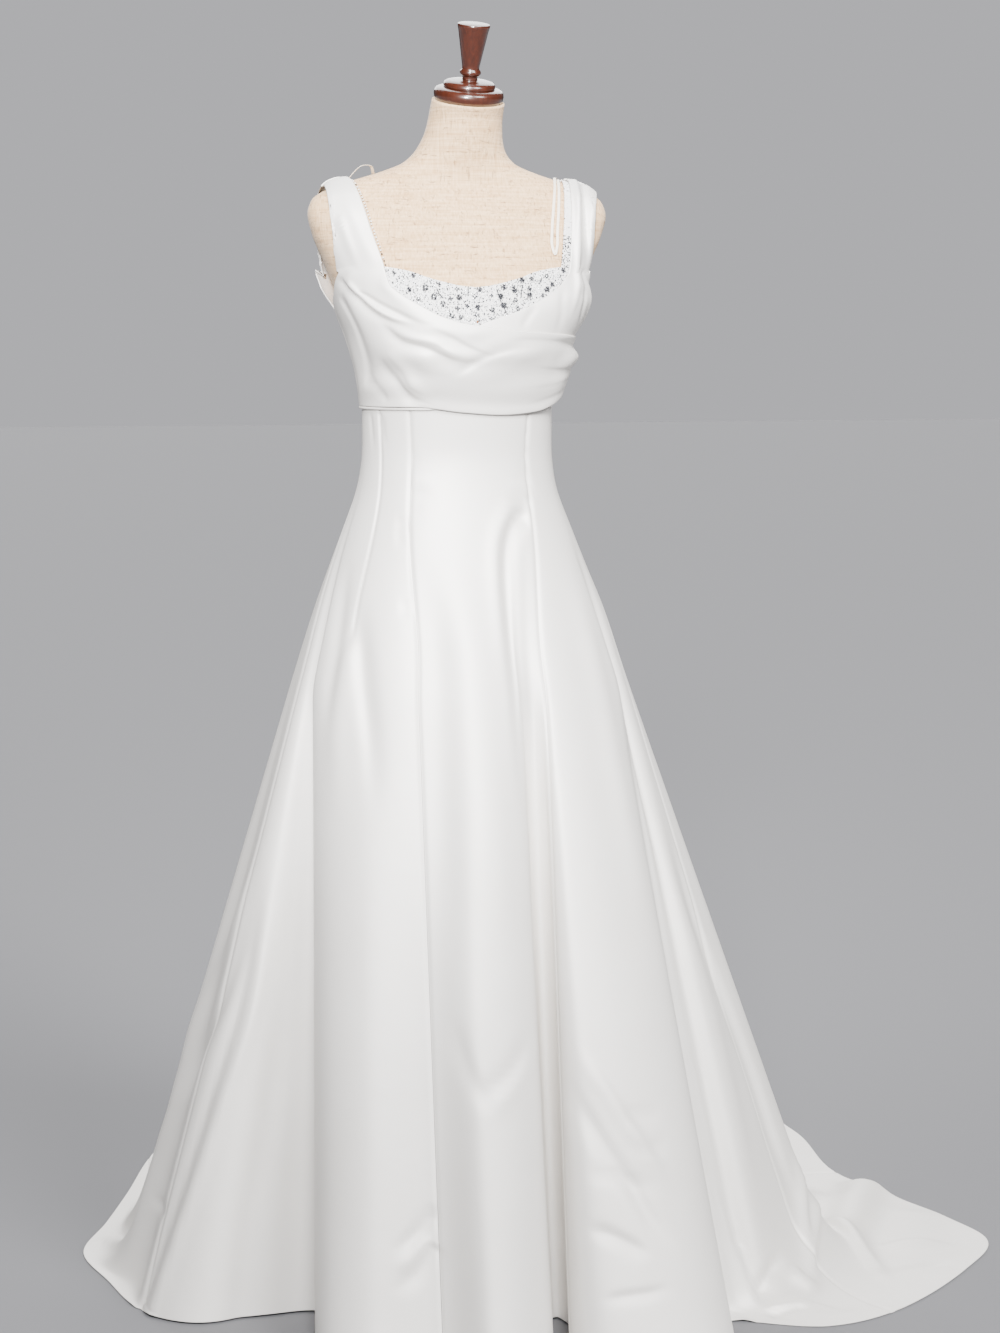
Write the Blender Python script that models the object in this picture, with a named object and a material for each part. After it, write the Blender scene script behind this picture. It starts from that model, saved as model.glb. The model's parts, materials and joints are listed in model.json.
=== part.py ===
"""An A-line wedding dress of heavy ivory satin, worn by a limbless linen dress form on a round stand.

Metres, +Z up. The dress faces -Y and the wearer's left is +X. The origin is the middle of the stand's
underside, on the floor. Angles are in degrees round the body, 0 at the centre front and positive
towards +X.
"""

import math
from collections import namedtuple

import bmesh
import bpy
import numpy as np

# Driving sizes of the garment
CLOTH = 0.0016  # satin with its interlining
SEAM_GAP = 0.0003
LAYER_GAP = 0.0010  # between two layers that lie on each other
WAIST_Z = 1.090
HIP_Z = 0.800
EMPIRE_Z = 1.150
HEM_CLEAR = 0.003  # the front hem just clears the floor
EMPIRE_EASE = (0.0005, 0.0070, 0.0020)  # how far outside the waist it is at the sides, front and back
HIP_FOLD = 0.07  # share of the floor's fold depth that already shows at the hip

# Driving sizes of the stand
NECK_TOP_Z = 1.536
NECK_ROOT_Z = 1.448
NECK_ASIDE = 0.0085  # the neck stands a little towards the wearer's left
NECK_LEAN = 15.0
NECK_LEAN_TOWARDS = 5.0
TORSO_BOTTOM_Z = 0.800
POLE_RADIUS = 0.0125
BASE_RADIUS = 0.140
BASE_HEIGHT = 0.028

# The skirt's sections from the waist to the hip, and where they would meet the floor if it fell
# straight: the reach from the middle to the wearer's left and right, and to the front and back.
Girth = namedtuple("Girth", "z left right front back")
SKIRT = (
    Girth(1.090, 0.1240, 0.1240, 0.0895, 0.0830),
    Girth(1.050, 0.1290, 0.1300, 0.0960, 0.0930),
    Girth(1.000, 0.1480, 0.1480, 0.1090, 0.1110),
    Girth(0.945, 0.1700, 0.1690, 0.1250, 0.1320),
    Girth(0.890, 0.1930, 0.1890, 0.1430, 0.1580),
    Girth(0.800, 0.2220, 0.2180, 0.1750, 0.2050),
    Girth(0.000, 0.4900, 0.4800, 0.4100, 0.5400),
)

# One row for each fold line of the skirt, round from the centre front towards +X. waist, hip and
# fall are its angles at those heights, radius is how far out it meets the floor, and hem_angle and
# hem say where its hem lies, further out on the floor where it trains. seam names a seam on the line.
Fold = namedtuple("Fold", "name waist hip fall radius hem_angle hem seam")
FOLDS = (
    Fold("centre_flute_ridge", -12, -9, -6.4, 0.430, -6.4, 0.430, ""),
    Fold("centre_flute_edge", 20, 11.7, 3.8, 0.400, 3.8, 0.400, ""),
    Fold("recess_right_wall", 30, 17, 11.0, 0.290, 11.0, 0.290, ""),
    Fold("recess_bottom", 37, 21, 17.6, 0.248, 17.6, 0.248, ""),
    Fold("recess_left_wall", 42, 24, 16.6, 0.305, 16.6, 0.305, ""),
    Fold("left_princess", 46, 26.3, 9.6, 0.370, 9.6, 0.370, "front_left"),
    Fold("left_flute_shoulder", 50, 30, 10.8, 0.424, 10.8, 0.424, ""),
    Fold("left_flute_ridge", 57, 41, 20, 0.459, 20, 0.459, ""),
    Fold("left_flute_edge", 69, 60, 33.3, 0.477, 33.3, 0.477, ""),
    Fold("left_valley", 76, 67, 43.0, 0.405, 43.0, 0.412, ""),
    Fold("left_side_rise", 82, 72, 54, 0.450, 50, 0.528, ""),
    Fold("left_side", 90, 79, 66, 0.475, 58, 0.592, "side_left"),
    Fold("left_side_ridge", 98, 87, 78, 0.504, 73.5, 0.683, ""),
    Fold("train_tip", 108, 98, 90, 0.462, 82.3, 0.733, ""),
    Fold("train_left_hump", 118, 109, 103, 0.520, 93, 0.690, ""),
    Fold("back_left", 130, 123, 118, 0.490, 109, 0.657, "back_left"),
    Fold("back_left_ridge", 143, 138, 133, 0.560, 124, 0.754, ""),
    Fold("back_left_valley", 156, 154, 150, 0.520, 139, 0.820, ""),
    Fold("back_ridge", 168, 168, 166, 0.590, 153, 0.850, ""),
    Fold("centre_back", 180, 180, 181, 0.545, 167, 0.855, "centre_back"),
    Fold("back_right_ridge", 192, 192, 196, 0.595, 180, 0.838, ""),
    Fold("back_right_valley", 204, 206, 210, 0.520, 192, 0.800, ""),
    Fold("back_right_flute", 216, 219, 223, 0.555, 204, 0.735, ""),
    Fold("back_right", 230, 233, 236, 0.480, 216, 0.632, "back_right"),
    Fold("right_back_ridge", 242, 245, 247, 0.468, 229, 0.552, ""),
    Fold("right_back_valley", 250, 253, 256, 0.442, 242, 0.517, ""),
    Fold("right_back_side", 257, 261, 264, 0.457, 255, 0.513, ""),
    Fold("right_notch", 262, 269, 272, 0.432, 268, 0.470, ""),
    Fold("right_side", 266, 277, 281, 0.446, 281, 0.450, "side_right"),
    Fold("right_side_ridge", 268, 279, 287.3, 0.434, 287.3, 0.434, ""),
    Fold("right_side_turn", 270, 280.6, 292.8, 0.400, 292.8, 0.400, ""),
    Fold("right_side_wall", 272, 282, 297.5, 0.320, 297.5, 0.320, ""),
    Fold("right_recess", 274, 283.5, 305.0, 0.264, 305.0, 0.264, ""),
    Fold("right_recess_wall", 276, 285, 316.0, 0.315, 316.0, 0.315, ""),
    Fold("right_flute_edge", 278, 287, 320.8, 0.385, 320.8, 0.385, ""),
    Fold("right_flute_shoulder", 287, 296, 325.7, 0.413, 325.7, 0.413, ""),
    Fold("right_flute_ridge", 298, 309, 333.1, 0.417, 333.1, 0.417, ""),
    Fold("right_princess", 314, 332, 345.2, 0.388, 345.2, 0.388, "front_right"),
)
GORES = (
    ("gore_centre_front", "front_right", "front_left"),
    ("gore_side_front_right", "side_right", "front_right"),
    ("gore_side_front_left", "front_left", "side_left"),
    ("gore_side_back_left", "side_left", "back_left"),
    ("gore_back_left", "back_left", "centre_back"),
    ("gore_back_right", "centre_back", "back_right"),
    ("gore_side_back_right", "back_right", "side_right"),
)
COLUMN_STEP = 0.056  # the longest facet along the hem
UPPER_RINGS = (1.120, 1.090, 1.050, 1.000, 0.945, 0.890, 0.800, 0.600, 0.380)
LOWER_START_Z = 0.160
LOWER_RINGS = 5  # from LOWER_START_Z down and out to the hem
FLOOR_TURN = 0.110  # the bend where the cloth meets the floor

# Soft humps where the train is rucked up, as lines on the floor plan.
Hump = namedtuple("Hump", "name angle_a radius_a angle_b radius_b width height")
HUMPS = (
    Hump("left_standing_fold", 101, 0.640, 78, 0.520, 0.030, 0.030),
    Hump("left_low_fold", 90, 0.660, 74, 0.600, 0.035, 0.010),
    Hump("back_left_fold", 130, 0.760, 128, 0.580, 0.045, 0.022),
    Hump("back_fold", 166, 0.830, 172, 0.620, 0.050, 0.020),
    Hump("back_right_fold", 200, 0.740, 206, 0.600, 0.045, 0.022),
)

# The form's sections from the torso's bottom to the top of the neck: half width, depth in front of
# and behind the side line, and the roundness of the section (2 is an ellipse).
Section = namedtuple("Section", "z half front back power middle")
FORM = (
    Section(0.800, 0.158, 0.100, 0.108, 2.2, 0.000),
    Section(0.860, 0.161, 0.103, 0.114, 2.2, 0.000),
    Section(0.930, 0.153, 0.101, 0.110, 2.2, 0.000),
    Section(1.000, 0.136, 0.093, 0.094, 2.0, 0.000),
    Section(1.050, 0.124, 0.085, 0.082, 2.0, 0.000),
    Section(1.100, 0.1175, 0.082, 0.0765, 2.0, 0.000),
    Section(1.150, 0.1190, 0.0915, 0.080, 2.0, 0.000),
    Section(1.190, 0.1235, 0.108, 0.084, 2.1, 0.000),
    Section(1.235, 0.1358, 0.123, 0.089, 2.3, 0.000),
    Section(1.270, 0.1490, 0.119, 0.093, 2.4, 0.000),
    Section(1.305, 0.1600, 0.107, 0.095, 2.5, -0.002),
    Section(1.340, 0.1745, 0.090, 0.096, 2.5, -0.005),
    Section(1.370, 0.1880, 0.073, 0.094, 2.4, -0.008),
    Section(1.395, 0.1940, 0.059, 0.090, 2.3, -0.011),
    Section(1.412, 0.1890, 0.049, 0.086, 2.2, -0.012),
    Section(1.424, 0.1720, 0.043, 0.081, 2.1, -0.012),
    Section(1.436, 0.1390, 0.039, 0.077, 2.0, -0.012),
    Section(1.448, 0.1000, 0.039, 0.072, 2.0, -0.012),
    Section(1.460, 0.0715, 0.041, 0.066, 2.0, -0.013),
    Section(1.476, 0.0570, 0.044, 0.059, 2.0, -0.015),
    Section(1.495, 0.0500, 0.046, 0.053, 2.0, -0.019),
    Section(1.515, 0.0470, 0.047, 0.048, 2.0, -0.025),
    Section(1.536, 0.0460, 0.046, 0.046, 2.0, -0.032),
)
FORM_SIDES = 28
BEADED_CLOTH = 0.0010
BEADED_LIFT = 0.0026  # the beaded bodice's outer face, out from the form
BEADED_STRAP_LIFT = 0.0022  # the same for the beaded straps
UNDER_LIFT = 0.0052
OVER_LIFT = UNDER_LIFT + LAYER_GAP + CLOTH + 0.0006
BODICE_BOTTOM_Z = EMPIRE_Z + SEAM_GAP

# The bodice is cut in draped pieces. Each row is a line across a piece, from its neck edge to its
# armhole, side or lower edge, in order from the shoulder. Angles run from the centre front towards
# the piece's own shoulder, and stand_off is how far the line is puffed out from the body.
Line = namedtuple("Line", "neck_angle neck_z outer_angle outer_z stand_off")
SIDE_SEAM = 97.0
SIDE_SEAM_FRONT = SIDE_SEAM - 0.12
SIDE_SEAM_BACK = SIDE_SEAM + 0.12
OVER_DRAPE = (
    Line(51.5, 1.326, 73, 1.320, 0),
    Line(47, 1.305, 83, 1.296, 0),
    Line(41, 1.293, 92, 1.279, 0),
    Line(34, 1.283, SIDE_SEAM_FRONT, 1.245, 0),
    Line(27, 1.274, SIDE_SEAM_FRONT, 1.200, 0),
    Line(19, 1.265, SIDE_SEAM_FRONT, 1.1530, 0),
    Line(9, 1.258, 66, 1.1530, 0),
    Line(-2, 1.254, 52, 1.1530, 0),
    Line(-14, 1.250, 36, 1.1530, 0),
    Line(-28, 1.247, 8, 1.1455, 0),
    Line(-42, 1.245, -22, 1.142, 0.001),
    Line(-58, 1.243, -47, 1.145, 0.005),
    Line(-72, 1.241, -66, 1.155, 0.012),
    Line(-85, 1.240, -82, 1.168, 0.016),
    Line(-96.5, 1.239, -96.5, 1.182, 0.001),
)
UNDER_DRAPE = (
    Line(58, 1.320, 75, 1.322, 0),
    Line(52, 1.306, 84, 1.294, 0.008),
    Line(44, 1.294, 92, 1.272, 0.012),
    Line(35, 1.283, SIDE_SEAM_FRONT, 1.235, 0.009),
    Line(25, 1.273, SIDE_SEAM_FRONT, 1.190, 0.003),
    Line(14, 1.265, SIDE_SEAM_FRONT, BODICE_BOTTOM_Z, 0),
    Line(3, 1.257, 66, BODICE_BOTTOM_Z, 0),
    Line(-11, 1.238, 38, BODICE_BOTTOM_Z, 0),
    Line(-25, 1.214, 12, BODICE_BOTTOM_Z, 0),
    Line(-39, 1.194, -12, BODICE_BOTTOM_Z, 0),
    Line(-53, 1.178, -39, BODICE_BOTTOM_Z, 0),
    Line(-66, 1.166, -63, BODICE_BOTTOM_Z, 0),
)
BACK_BODICE = (
    Line(127.5, 1.320, 99, 1.324, 0),
    Line(136, 1.303, 98, 1.294, 0),
    Line(145, 1.287, SIDE_SEAM_BACK, 1.262, 0),
    Line(154, 1.274, SIDE_SEAM_BACK, 1.205, 0),
    Line(163, 1.262, SIDE_SEAM_BACK, BODICE_BOTTOM_Z, 0),
    Line(169, 1.257, 122, BODICE_BOTTOM_Z, 0),
    Line(174, 1.253, 150, BODICE_BOTTOM_Z, 0),
    Line(179.85, 1.250, 179.85, BODICE_BOTTOM_Z, 0),
)
# Soft folds: each runs along its piece between two lines (the strap's lines count down from 0), at a
# share of the way across it, and stands out by height.
Pleat = namedtuple("Pleat", "start end across_start across_end width height")
OVER_PLEATS = (
    Pleat(-4.0, 1.0, 0.80, 0.60, 0.14, 0.0020),
    Pleat(0.4, 7.5, 0.05, 0.10, 0.09, 0.0026),
    Pleat(0.8, 10.0, 0.55, 0.28, 0.09, 0.0042),
    Pleat(2.0, 12.0, 0.70, 0.50, 0.08, 0.0030),
    Pleat(3.2, 12.0, 0.86, 0.72, 0.08, 0.0028),
    Pleat(5.5, 14.0, 1.00, 0.97, 0.09, 0.0036),
    Pleat(10.0, 14.0, 0.06, 0.05, 0.09, 0.0030),
    Pleat(10.5, 14.0, 0.42, 0.36, 0.09, 0.0055),
    Pleat(11.0, 14.0, 0.74, 0.68, 0.09, 0.0045),
)
UNDER_PLEATS = (
    Pleat(-6.0, 1.2, 0.30, 0.35, 0.14, 0.0040),
    Pleat(-6.0, 0.6, 0.90, 0.85, 0.14, 0.0035),
    Pleat(0.4, 3.6, 0.62, 0.70, 0.10, 0.0022),
)
BACK_PLEATS = (
    Pleat(-3.0, 1.3, 1.00, 1.00, 0.16, 0.0100),
)
# The straps, along from the front joint over the shoulder to the back joint: the edges of the satin
# strap and the neck edge of the beaded strap under it, out from the middle of the body, and how high
# the satin is lifted.
Strap = namedtuple("Strap", "along right_inner right_outer right_beads left_inner left_outer left_beads lift")
STRAP = (
    Strap(0.00, 0.1120, 0.1640, 0.1094, 0.1300, 0.1675, 0.1150, UNDER_LIFT),
    Strap(0.15, 0.1248, 0.1690, 0.1220, 0.1345, 0.1680, 0.1215, UNDER_LIFT),
    Strap(0.30, 0.1352, 0.1735, 0.1324, 0.1380, 0.1720, 0.1270, UNDER_LIFT + 0.001),
    Strap(0.42, 0.1438, 0.1750, 0.1415, 0.1410, 0.1800, 0.1315, 0.0085),
    Strap(0.50, 0.1482, 0.1750, 0.1460, 0.1420, 0.1830, 0.1340, 0.0098),
    Strap(0.58, 0.1466, 0.1755, 0.1441, 0.1410, 0.1820, 0.1330, 0.0100),
    Strap(0.75, 0.1345, 0.1750, 0.1315, 0.1310, 0.1760, 0.1240, 0.0060),
    Strap(1.00, 0.1085, 0.1660, 0.1055, 0.1080, 0.1660, 0.1020, UNDER_LIFT),
)
STRAP_JOINT_Z = 1.326  # the height of a strap's front and back joints
SHOULDER_SEAM = 0.50
STRAP_EDGE_LIFT = 0.0016  # how much higher its edges ride over the shoulder
STRAP_STEPS = 8  # from a joint up to the shoulder seam
BEADED_STRAP_WIDTH = 0.020
# The beaded bodice's neckline, as heights at angles on either side of the centre front
Neckline = namedtuple("Neckline", "angle z")
NECKLINE = (
    Neckline(0, 1.302),
    Neckline(10, 1.304),
    Neckline(20, 1.3085),
    Neckline(30, 1.314),
    Neckline(40, 1.3215),
    Neckline(48, 1.3255),
    Neckline(56, 1.328),
)
BEADED_BOTTOM_Z = 1.238
PIPING_RADIUS = 0.0016
PIPING_GAP = 0.0008
PIPING_ENDS = (-96, -33)  # from the side seam to where the over drape covers it
# The ribbon loops that a dress hangs by, as places on the form: how far out from the middle, how far
# along the straps' way over the shoulder, and how high off the form
RIBBON_RADIUS = 0.0011
LoopPoint = namedtuple("LoopPoint", "out along lift")
RIGHT_LOOP = (
    LoopPoint(0.1405, 0.500, 0.0040),
    LoopPoint(0.1335, 0.495, 0.0100),
    LoopPoint(0.1240, 0.490, 0.0150),
    LoopPoint(0.1130, 0.500, 0.0130),
    LoopPoint(0.1065, 0.540, 0.0060),
    LoopPoint(0.1045, 0.620, 0.0024),
    LoopPoint(0.1060, 0.700, 0.0024),
    LoopPoint(0.1115, 0.740, 0.0024),
    LoopPoint(0.1175, 0.715, 0.0024),
    LoopPoint(0.1260, 0.640, 0.0024),
    LoopPoint(0.1345, 0.570, 0.0024),
    LoopPoint(0.1405, 0.530, 0.0026),
)
LEFT_LOOP = (
    LoopPoint(0.1305, 0.490, 0.0040),
    LoopPoint(0.1250, 0.440, 0.0028),
    LoopPoint(0.1190, 0.350, 0.0024),
    LoopPoint(0.1130, 0.250, 0.0024),
    LoopPoint(0.1080, 0.150, 0.0024),
    LoopPoint(0.1065, 0.085, 0.0024),
    LoopPoint(0.1095, 0.055, 0.0024),
    LoopPoint(0.1130, 0.085, 0.0024),
    LoopPoint(0.1155, 0.150, 0.0024),
    LoopPoint(0.1200, 0.250, 0.0024),
    LoopPoint(0.1245, 0.350, 0.0024),
    LoopPoint(0.1285, 0.430, 0.0024),
)

PALETTE = {
    "satin": ((0.87, 0.86, 0.84), 0.42, 0.0),
    "beading": ((0.80, 0.80, 0.79), 0.35, 0.1),
    "linen": ((0.76, 0.70, 0.61), 0.85, 0.0),
    "mahogany": ((0.14, 0.045, 0.02), 0.25, 0.0),
    "steel": ((0.55, 0.55, 0.56), 0.30, 1.0),
    "ribbon": ((0.88, 0.87, 0.83), 0.45, 0.0),
}


def material(name):
    found = bpy.data.materials.get(name)
    if found:
        return found
    colour, roughness, metallic = PALETTE[name]
    made = bpy.data.materials.new(name)
    made.use_nodes = True
    shader = made.node_tree.nodes["Principled BSDF"]
    shader.inputs["Base Color"].default_value = (*colour, 1.0)
    shader.inputs["Roughness"].default_value = roughness
    shader.inputs["Metallic"].default_value = metallic
    return made


def add_object(name, bm, finish):
    """Turns a bmesh into the named object, with its faces out, shaded smooth up to 40 degrees."""
    bmesh.ops.recalc_face_normals(bm, faces=bm.faces)
    mesh = bpy.data.meshes.new(name)
    bm.to_mesh(mesh)
    bm.free()
    mesh.shade_smooth()
    mesh.set_sharp_from_angle(angle=math.radians(40))
    mesh.materials.append(material(finish))
    made = bpy.data.objects.new(name, mesh)
    bpy.context.scene.collection.objects.link(made)
    return made


def loft(name, rings, finish):
    """A closed solid through rings of equally many points, with flat ends."""
    bm = bmesh.new()
    rows = [[bm.verts.new(point) for point in ring] for ring in rings]
    sides = len(rows[0])
    for upper, lower in zip(rows, rows[1:]):
        for k in range(sides):
            after = (k + 1) % sides
            bm.faces.new((upper[k], upper[after], lower[after], lower[k]))
    bm.faces.new(rows[0])
    bm.faces.new(rows[-1])
    return add_object(name, bm, finish)


def turned(name, profile, sides, finish):
    """A lathe-turned solid from (radius, height) pairs."""
    turns = [2 * math.pi * k / sides for k in range(sides)]
    rings = [[(r * math.cos(t), r * math.sin(t), z) for t in turns] for r, z in profile]
    return loft(name, rings, finish)


def unit(vectors):
    return vectors / np.maximum(np.linalg.norm(vectors, axis=-1, keepdims=True), 1e-12)


def sheet_normals(grid, closed=False):
    """Outward normals of a grid whose rows go down or across and whose columns go round the body."""
    down = np.gradient(grid, axis=0)
    if closed:
        around = np.roll(grid, -1, axis=1) - np.roll(grid, 1, axis=1)
    else:
        around = np.gradient(grid, axis=1)
    return unit(np.cross(down, around))


def cloth_wall(name, outer, inner, finish):
    """A closed wall between two grids of points, with the four edges turned in."""
    bm = bmesh.new()
    skins = [[[bm.verts.new(point) for point in row] for row in grid] for grid in (outer, inner)]
    rows, columns = len(outer), len(outer[0])
    for skin in skins:
        for i in range(rows - 1):
            for j in range(columns - 1):
                bm.faces.new((skin[i][j], skin[i + 1][j], skin[i + 1][j + 1], skin[i][j + 1]))
    edge = [(i, 0) for i in range(rows)]
    edge += [(rows - 1, j) for j in range(1, columns)]
    edge += [(i, columns - 1) for i in range(rows - 2, -1, -1)]
    edge += [(0, j) for j in range(columns - 2, 0, -1)]
    for (i, j), (k, m) in zip(edge, edge[1:] + edge[:1]):
        bm.faces.new((skins[0][i][j], skins[0][k][m], skins[1][k][m], skins[1][i][j]))
    return add_object(name, bm, finish)


def smooth_step(x):
    x = np.clip(x, 0.0, 1.0)
    return x * x * (3 - 2 * x)


def curve_through(knots, values, at, slopes):
    """Cubic values at places along uneven knots, with these slopes at the knots."""
    k = np.clip(np.searchsorted(knots, at, side="right") - 1, 0, len(knots) - 2)
    span = (knots[k + 1] - knots[k])[:, None]
    t = (np.asarray(at) - knots[k])[:, None] / span
    return (
        (1 + 2 * t) * (1 - t) ** 2 * values[k]
        + t * (1 - t) ** 2 * span * slopes[k]
        + t * t * (3 - 2 * t) * values[k + 1]
        + t * t * (t - 1) * span * slopes[k + 1]
    )


def round_curve(knots, values, at):
    """A smooth curve through the values, which may swing a little past them."""
    return curve_through(knots, values, at, np.gradient(values, knots, axis=0))


def steady_curve(knots, values, at):
    """A smooth curve through the values that never swings past them."""
    steps = np.diff(values, axis=0) / np.diff(knots)[:, None]
    before, after = steps[:-1], steps[1:]
    same_way = before * after > 0
    total = np.where(same_way, before + after, 1.0)
    inner = np.where(same_way, 2 * before * after / total, 0.0)
    return curve_through(knots, values, at, np.concatenate([steps[:1], inner, steps[-1:]]))


def polar(angle, radius):
    """Points on the floor plan at angles from the centre front."""
    turn = np.radians(angle)
    return np.stack([np.sin(turn) * radius, -np.cos(turn) * radius], axis=-1)


# The skirt


def fold_columns():
    """The table's rows read along a smooth closed curve: one column of the skirt for each entry."""
    table = np.array([row[1:7] for row in FOLDS], float)
    turned_once = table.copy()
    turned_once[:, [0, 1, 2, 4]] += 360
    turned_before = table.copy()
    turned_before[:, [0, 1, 2, 4]] -= 360
    ring = np.concatenate([turned_before[-3:], table, turned_once[:4]])
    places = polar(ring[:, 4], ring[:, 5])
    gaps = np.linalg.norm(np.diff(places, axis=0), axis=1)
    knots = np.concatenate([[0.0], np.cumsum(np.sqrt(gaps))])
    at, row_at = [], []
    for k in range(len(FOLDS)):
        steps = math.ceil(gaps[k + 3] / COLUMN_STEP)
        row_at.append(len(at))
        at += list(np.linspace(knots[k + 3], knots[k + 4], steps, endpoint=False))
    row_at.append(len(at))
    flat = np.concatenate([ring[:, :2], polar(ring[:, 2], ring[:, 3]), places], axis=1)
    columns = round_curve(knots, flat, np.array(at))
    return columns, row_at


def oval_radius(angle, left, right, front, back):
    """Radius at the angles of an oval with these four reaches."""
    turn = np.radians(angle)
    side = np.where(np.sin(turn) > 0, left, right)
    depth = np.where(np.cos(turn) > 0, front, back)
    return 1 / np.sqrt((np.sin(turn) / side) ** 2 + (np.cos(turn) / depth) ** 2)


def smooth_radius(angle, z):
    """Radius of the skirt's smooth cone, without its folds."""
    table = np.array(SKIRT, float)
    reaches = [np.interp(z, table[::-1, 0], table[::-1, k]) for k in range(1, 5)]
    return oval_radius(angle, *reaches)


def midriff_radius(angle, z):
    """Radius of the fitted panels above the waist."""
    lift = (z - WAIST_Z) / (EMPIRE_Z - WAIST_Z)
    side, front, back = (ease * lift for ease in EMPIRE_EASE)
    waist = SKIRT[0]
    return oval_radius(angle, waist.left + side, waist.right + side, waist.front + front, waist.back + back)


def hump_height(plan):
    """How high the rucked folds lift the train at points of the floor plan."""
    total = np.zeros(len(plan))
    for hump in HUMPS:
        a = polar(hump.angle_a, hump.radius_a)
        b = polar(hump.angle_b, hump.radius_b)
        along = b - a
        t = np.clip((plan - a) @ along / (along @ along), 0, 1)
        away = np.linalg.norm(plan - a - t[:, None] * along, axis=1)
        total += hump.height * np.exp(-((away / hump.width) ** 2)) * np.sin(math.pi * (0.25 + 0.5 * t))
    return total


def lower_path(start, fall, hem, shares):
    """Points from start down to the floor at fall, round a soft bend, and out to the hem."""
    corner = np.concatenate([fall, np.full((len(fall), 1), CLOTH)], axis=1)
    end = np.concatenate([hem, np.full((len(hem), 1), CLOTH)], axis=1)
    trail = np.linalg.norm(end - corner, axis=1)
    lying = smooth_step(trail / 0.03)
    corner[:, 2] += (HEM_CLEAR - CLOTH) * (1 - lying)
    end[:, 2] += (HEM_CLEAR - CLOTH) * (1 - lying)
    drop = np.linalg.norm(corner - start, axis=1)
    turn = np.minimum(FLOOR_TURN, 0.75 * trail)[:, None]
    into = unit(corner - start)
    out_of = unit(end - corner)
    before, after = corner - into * turn, corner + out_of * turn
    points = []
    for share in shares:
        gone = share * (drop + trail)
        on_fall = np.clip(gone / np.maximum(drop - turn[:, 0], 1e-9), 0, 1)[:, None]
        on_bend = np.clip((gone - drop + turn[:, 0]) / np.maximum(2 * turn[:, 0], 1e-9), 0, 1)[:, None]
        flat = np.maximum(trail - turn[:, 0], 1e-9)
        on_floor = np.clip((gone - drop - turn[:, 0]) / flat, 0, 1)[:, None]
        bend = (1 - on_bend) ** 2 * before + 2 * on_bend * (1 - on_bend) * corner + on_bend**2 * after
        row = np.where(gone[:, None] < drop[:, None] - turn, start + (before - start) * on_fall, bend)
        row = np.where(gone[:, None] > drop[:, None] + turn, after + (end - after) * on_floor, row)
        row[:, 2] += hump_height(row[:, :2]) * smooth_step((gone - drop) / 0.05) * lying
        points.append(row)
    return points


def skirt_grid():
    """The outer face of the whole skirt, from the empire seam to the hem."""
    columns, row_at = fold_columns()
    waist, hip, fall, hem = columns[:, 0], columns[:, 1], columns[:, 2:4], columns[:, 4:6]
    fall_angle = np.degrees(np.arctan2(fall[:, 0], -fall[:, 1]))
    fold_depth = np.linalg.norm(fall, axis=1) - smooth_radius(fall_angle, 0.0)
    hip_plan = polar(hip, smooth_radius(hip, HIP_Z) + HIP_FOLD * fold_depth)
    rings = []
    for z in (EMPIRE_Z,) + UPPER_RINGS + (LOWER_START_Z,):
        height = np.full((len(columns), 1), z)
        if z >= WAIST_Z:
            plan = polar(waist, midriff_radius(waist, z))
        elif z >= HIP_Z:
            ease = (WAIST_Z - z) / (WAIST_Z - HIP_Z)
            angle = waist + (hip - waist) * smooth_step(ease)
            plan = polar(angle, smooth_radius(angle, z) + HIP_FOLD * ease**2 * fold_depth)
        else:
            plan = hip_plan + (fall - hip_plan) * (HIP_Z - z) / HIP_Z
        rings.append(np.concatenate([plan, height], axis=1))
    shares = [k / LOWER_RINGS for k in range(1, LOWER_RINGS + 1)]
    rings += lower_path(rings[-1], fall, hem, shares)
    return np.array(rings), row_at


def build_skirt():
    grid, row_at = skirt_grid()
    normals = sheet_normals(grid, closed=True)
    inner = grid - normals * CLOTH
    inner[:, :, 2] = np.maximum(inner[:, :, 2], 0.0)
    around = unit(np.roll(grid, -1, axis=1) - np.roll(grid, 1, axis=1))
    seam_at = {FOLDS[k].seam: row_at[k] for k in range(len(FOLDS)) if FOLDS[k].seam}
    count = grid.shape[1]
    for name, first, last in GORES:
        start, stop = seam_at[first], seam_at[last]
        if stop <= start:
            stop += count
        picked = [k % count for k in range(start, stop + 1)]
        faces = []
        for skin in (grid, inner):
            panel = skin[:, picked].copy()
            panel[:, 0] += around[:, picked[0]] * SEAM_GAP / 2
            panel[:, -1] -= around[:, picked[-1]] * SEAM_GAP / 2
            faces.append(panel)
        cloth_wall(name, faces[0], faces[1], "satin")


# The form and its stand


def form_section(z):
    table = np.array(FORM, float)
    z = np.clip(np.atleast_1d(z), FORM[0].z, FORM[-1].z)
    return steady_curve(table[:, 0], table[:, 1:], z)


def body_point(angle, z, lift=0.0):
    """A point at that angle and height, lift metres out from the form's surface."""
    angle, z = np.broadcast_arrays(np.asarray(angle, float), np.asarray(z, float))
    turn = np.radians(angle.ravel())
    half, front, back, power, middle = form_section(z.ravel()).T
    depth = np.where(np.cos(turn) > 0, front, back)
    spread = (np.abs(np.sin(turn)) / half) ** power + (np.abs(np.cos(turn)) / depth) ** power
    radius = spread ** (-1 / power) + np.ravel(lift)
    plan = polar(np.degrees(turn), radius)
    plan[:, 1] += middle
    return np.concatenate([plan, z.ravel()[:, None]], axis=1).reshape(*angle.shape, 3)


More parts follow.
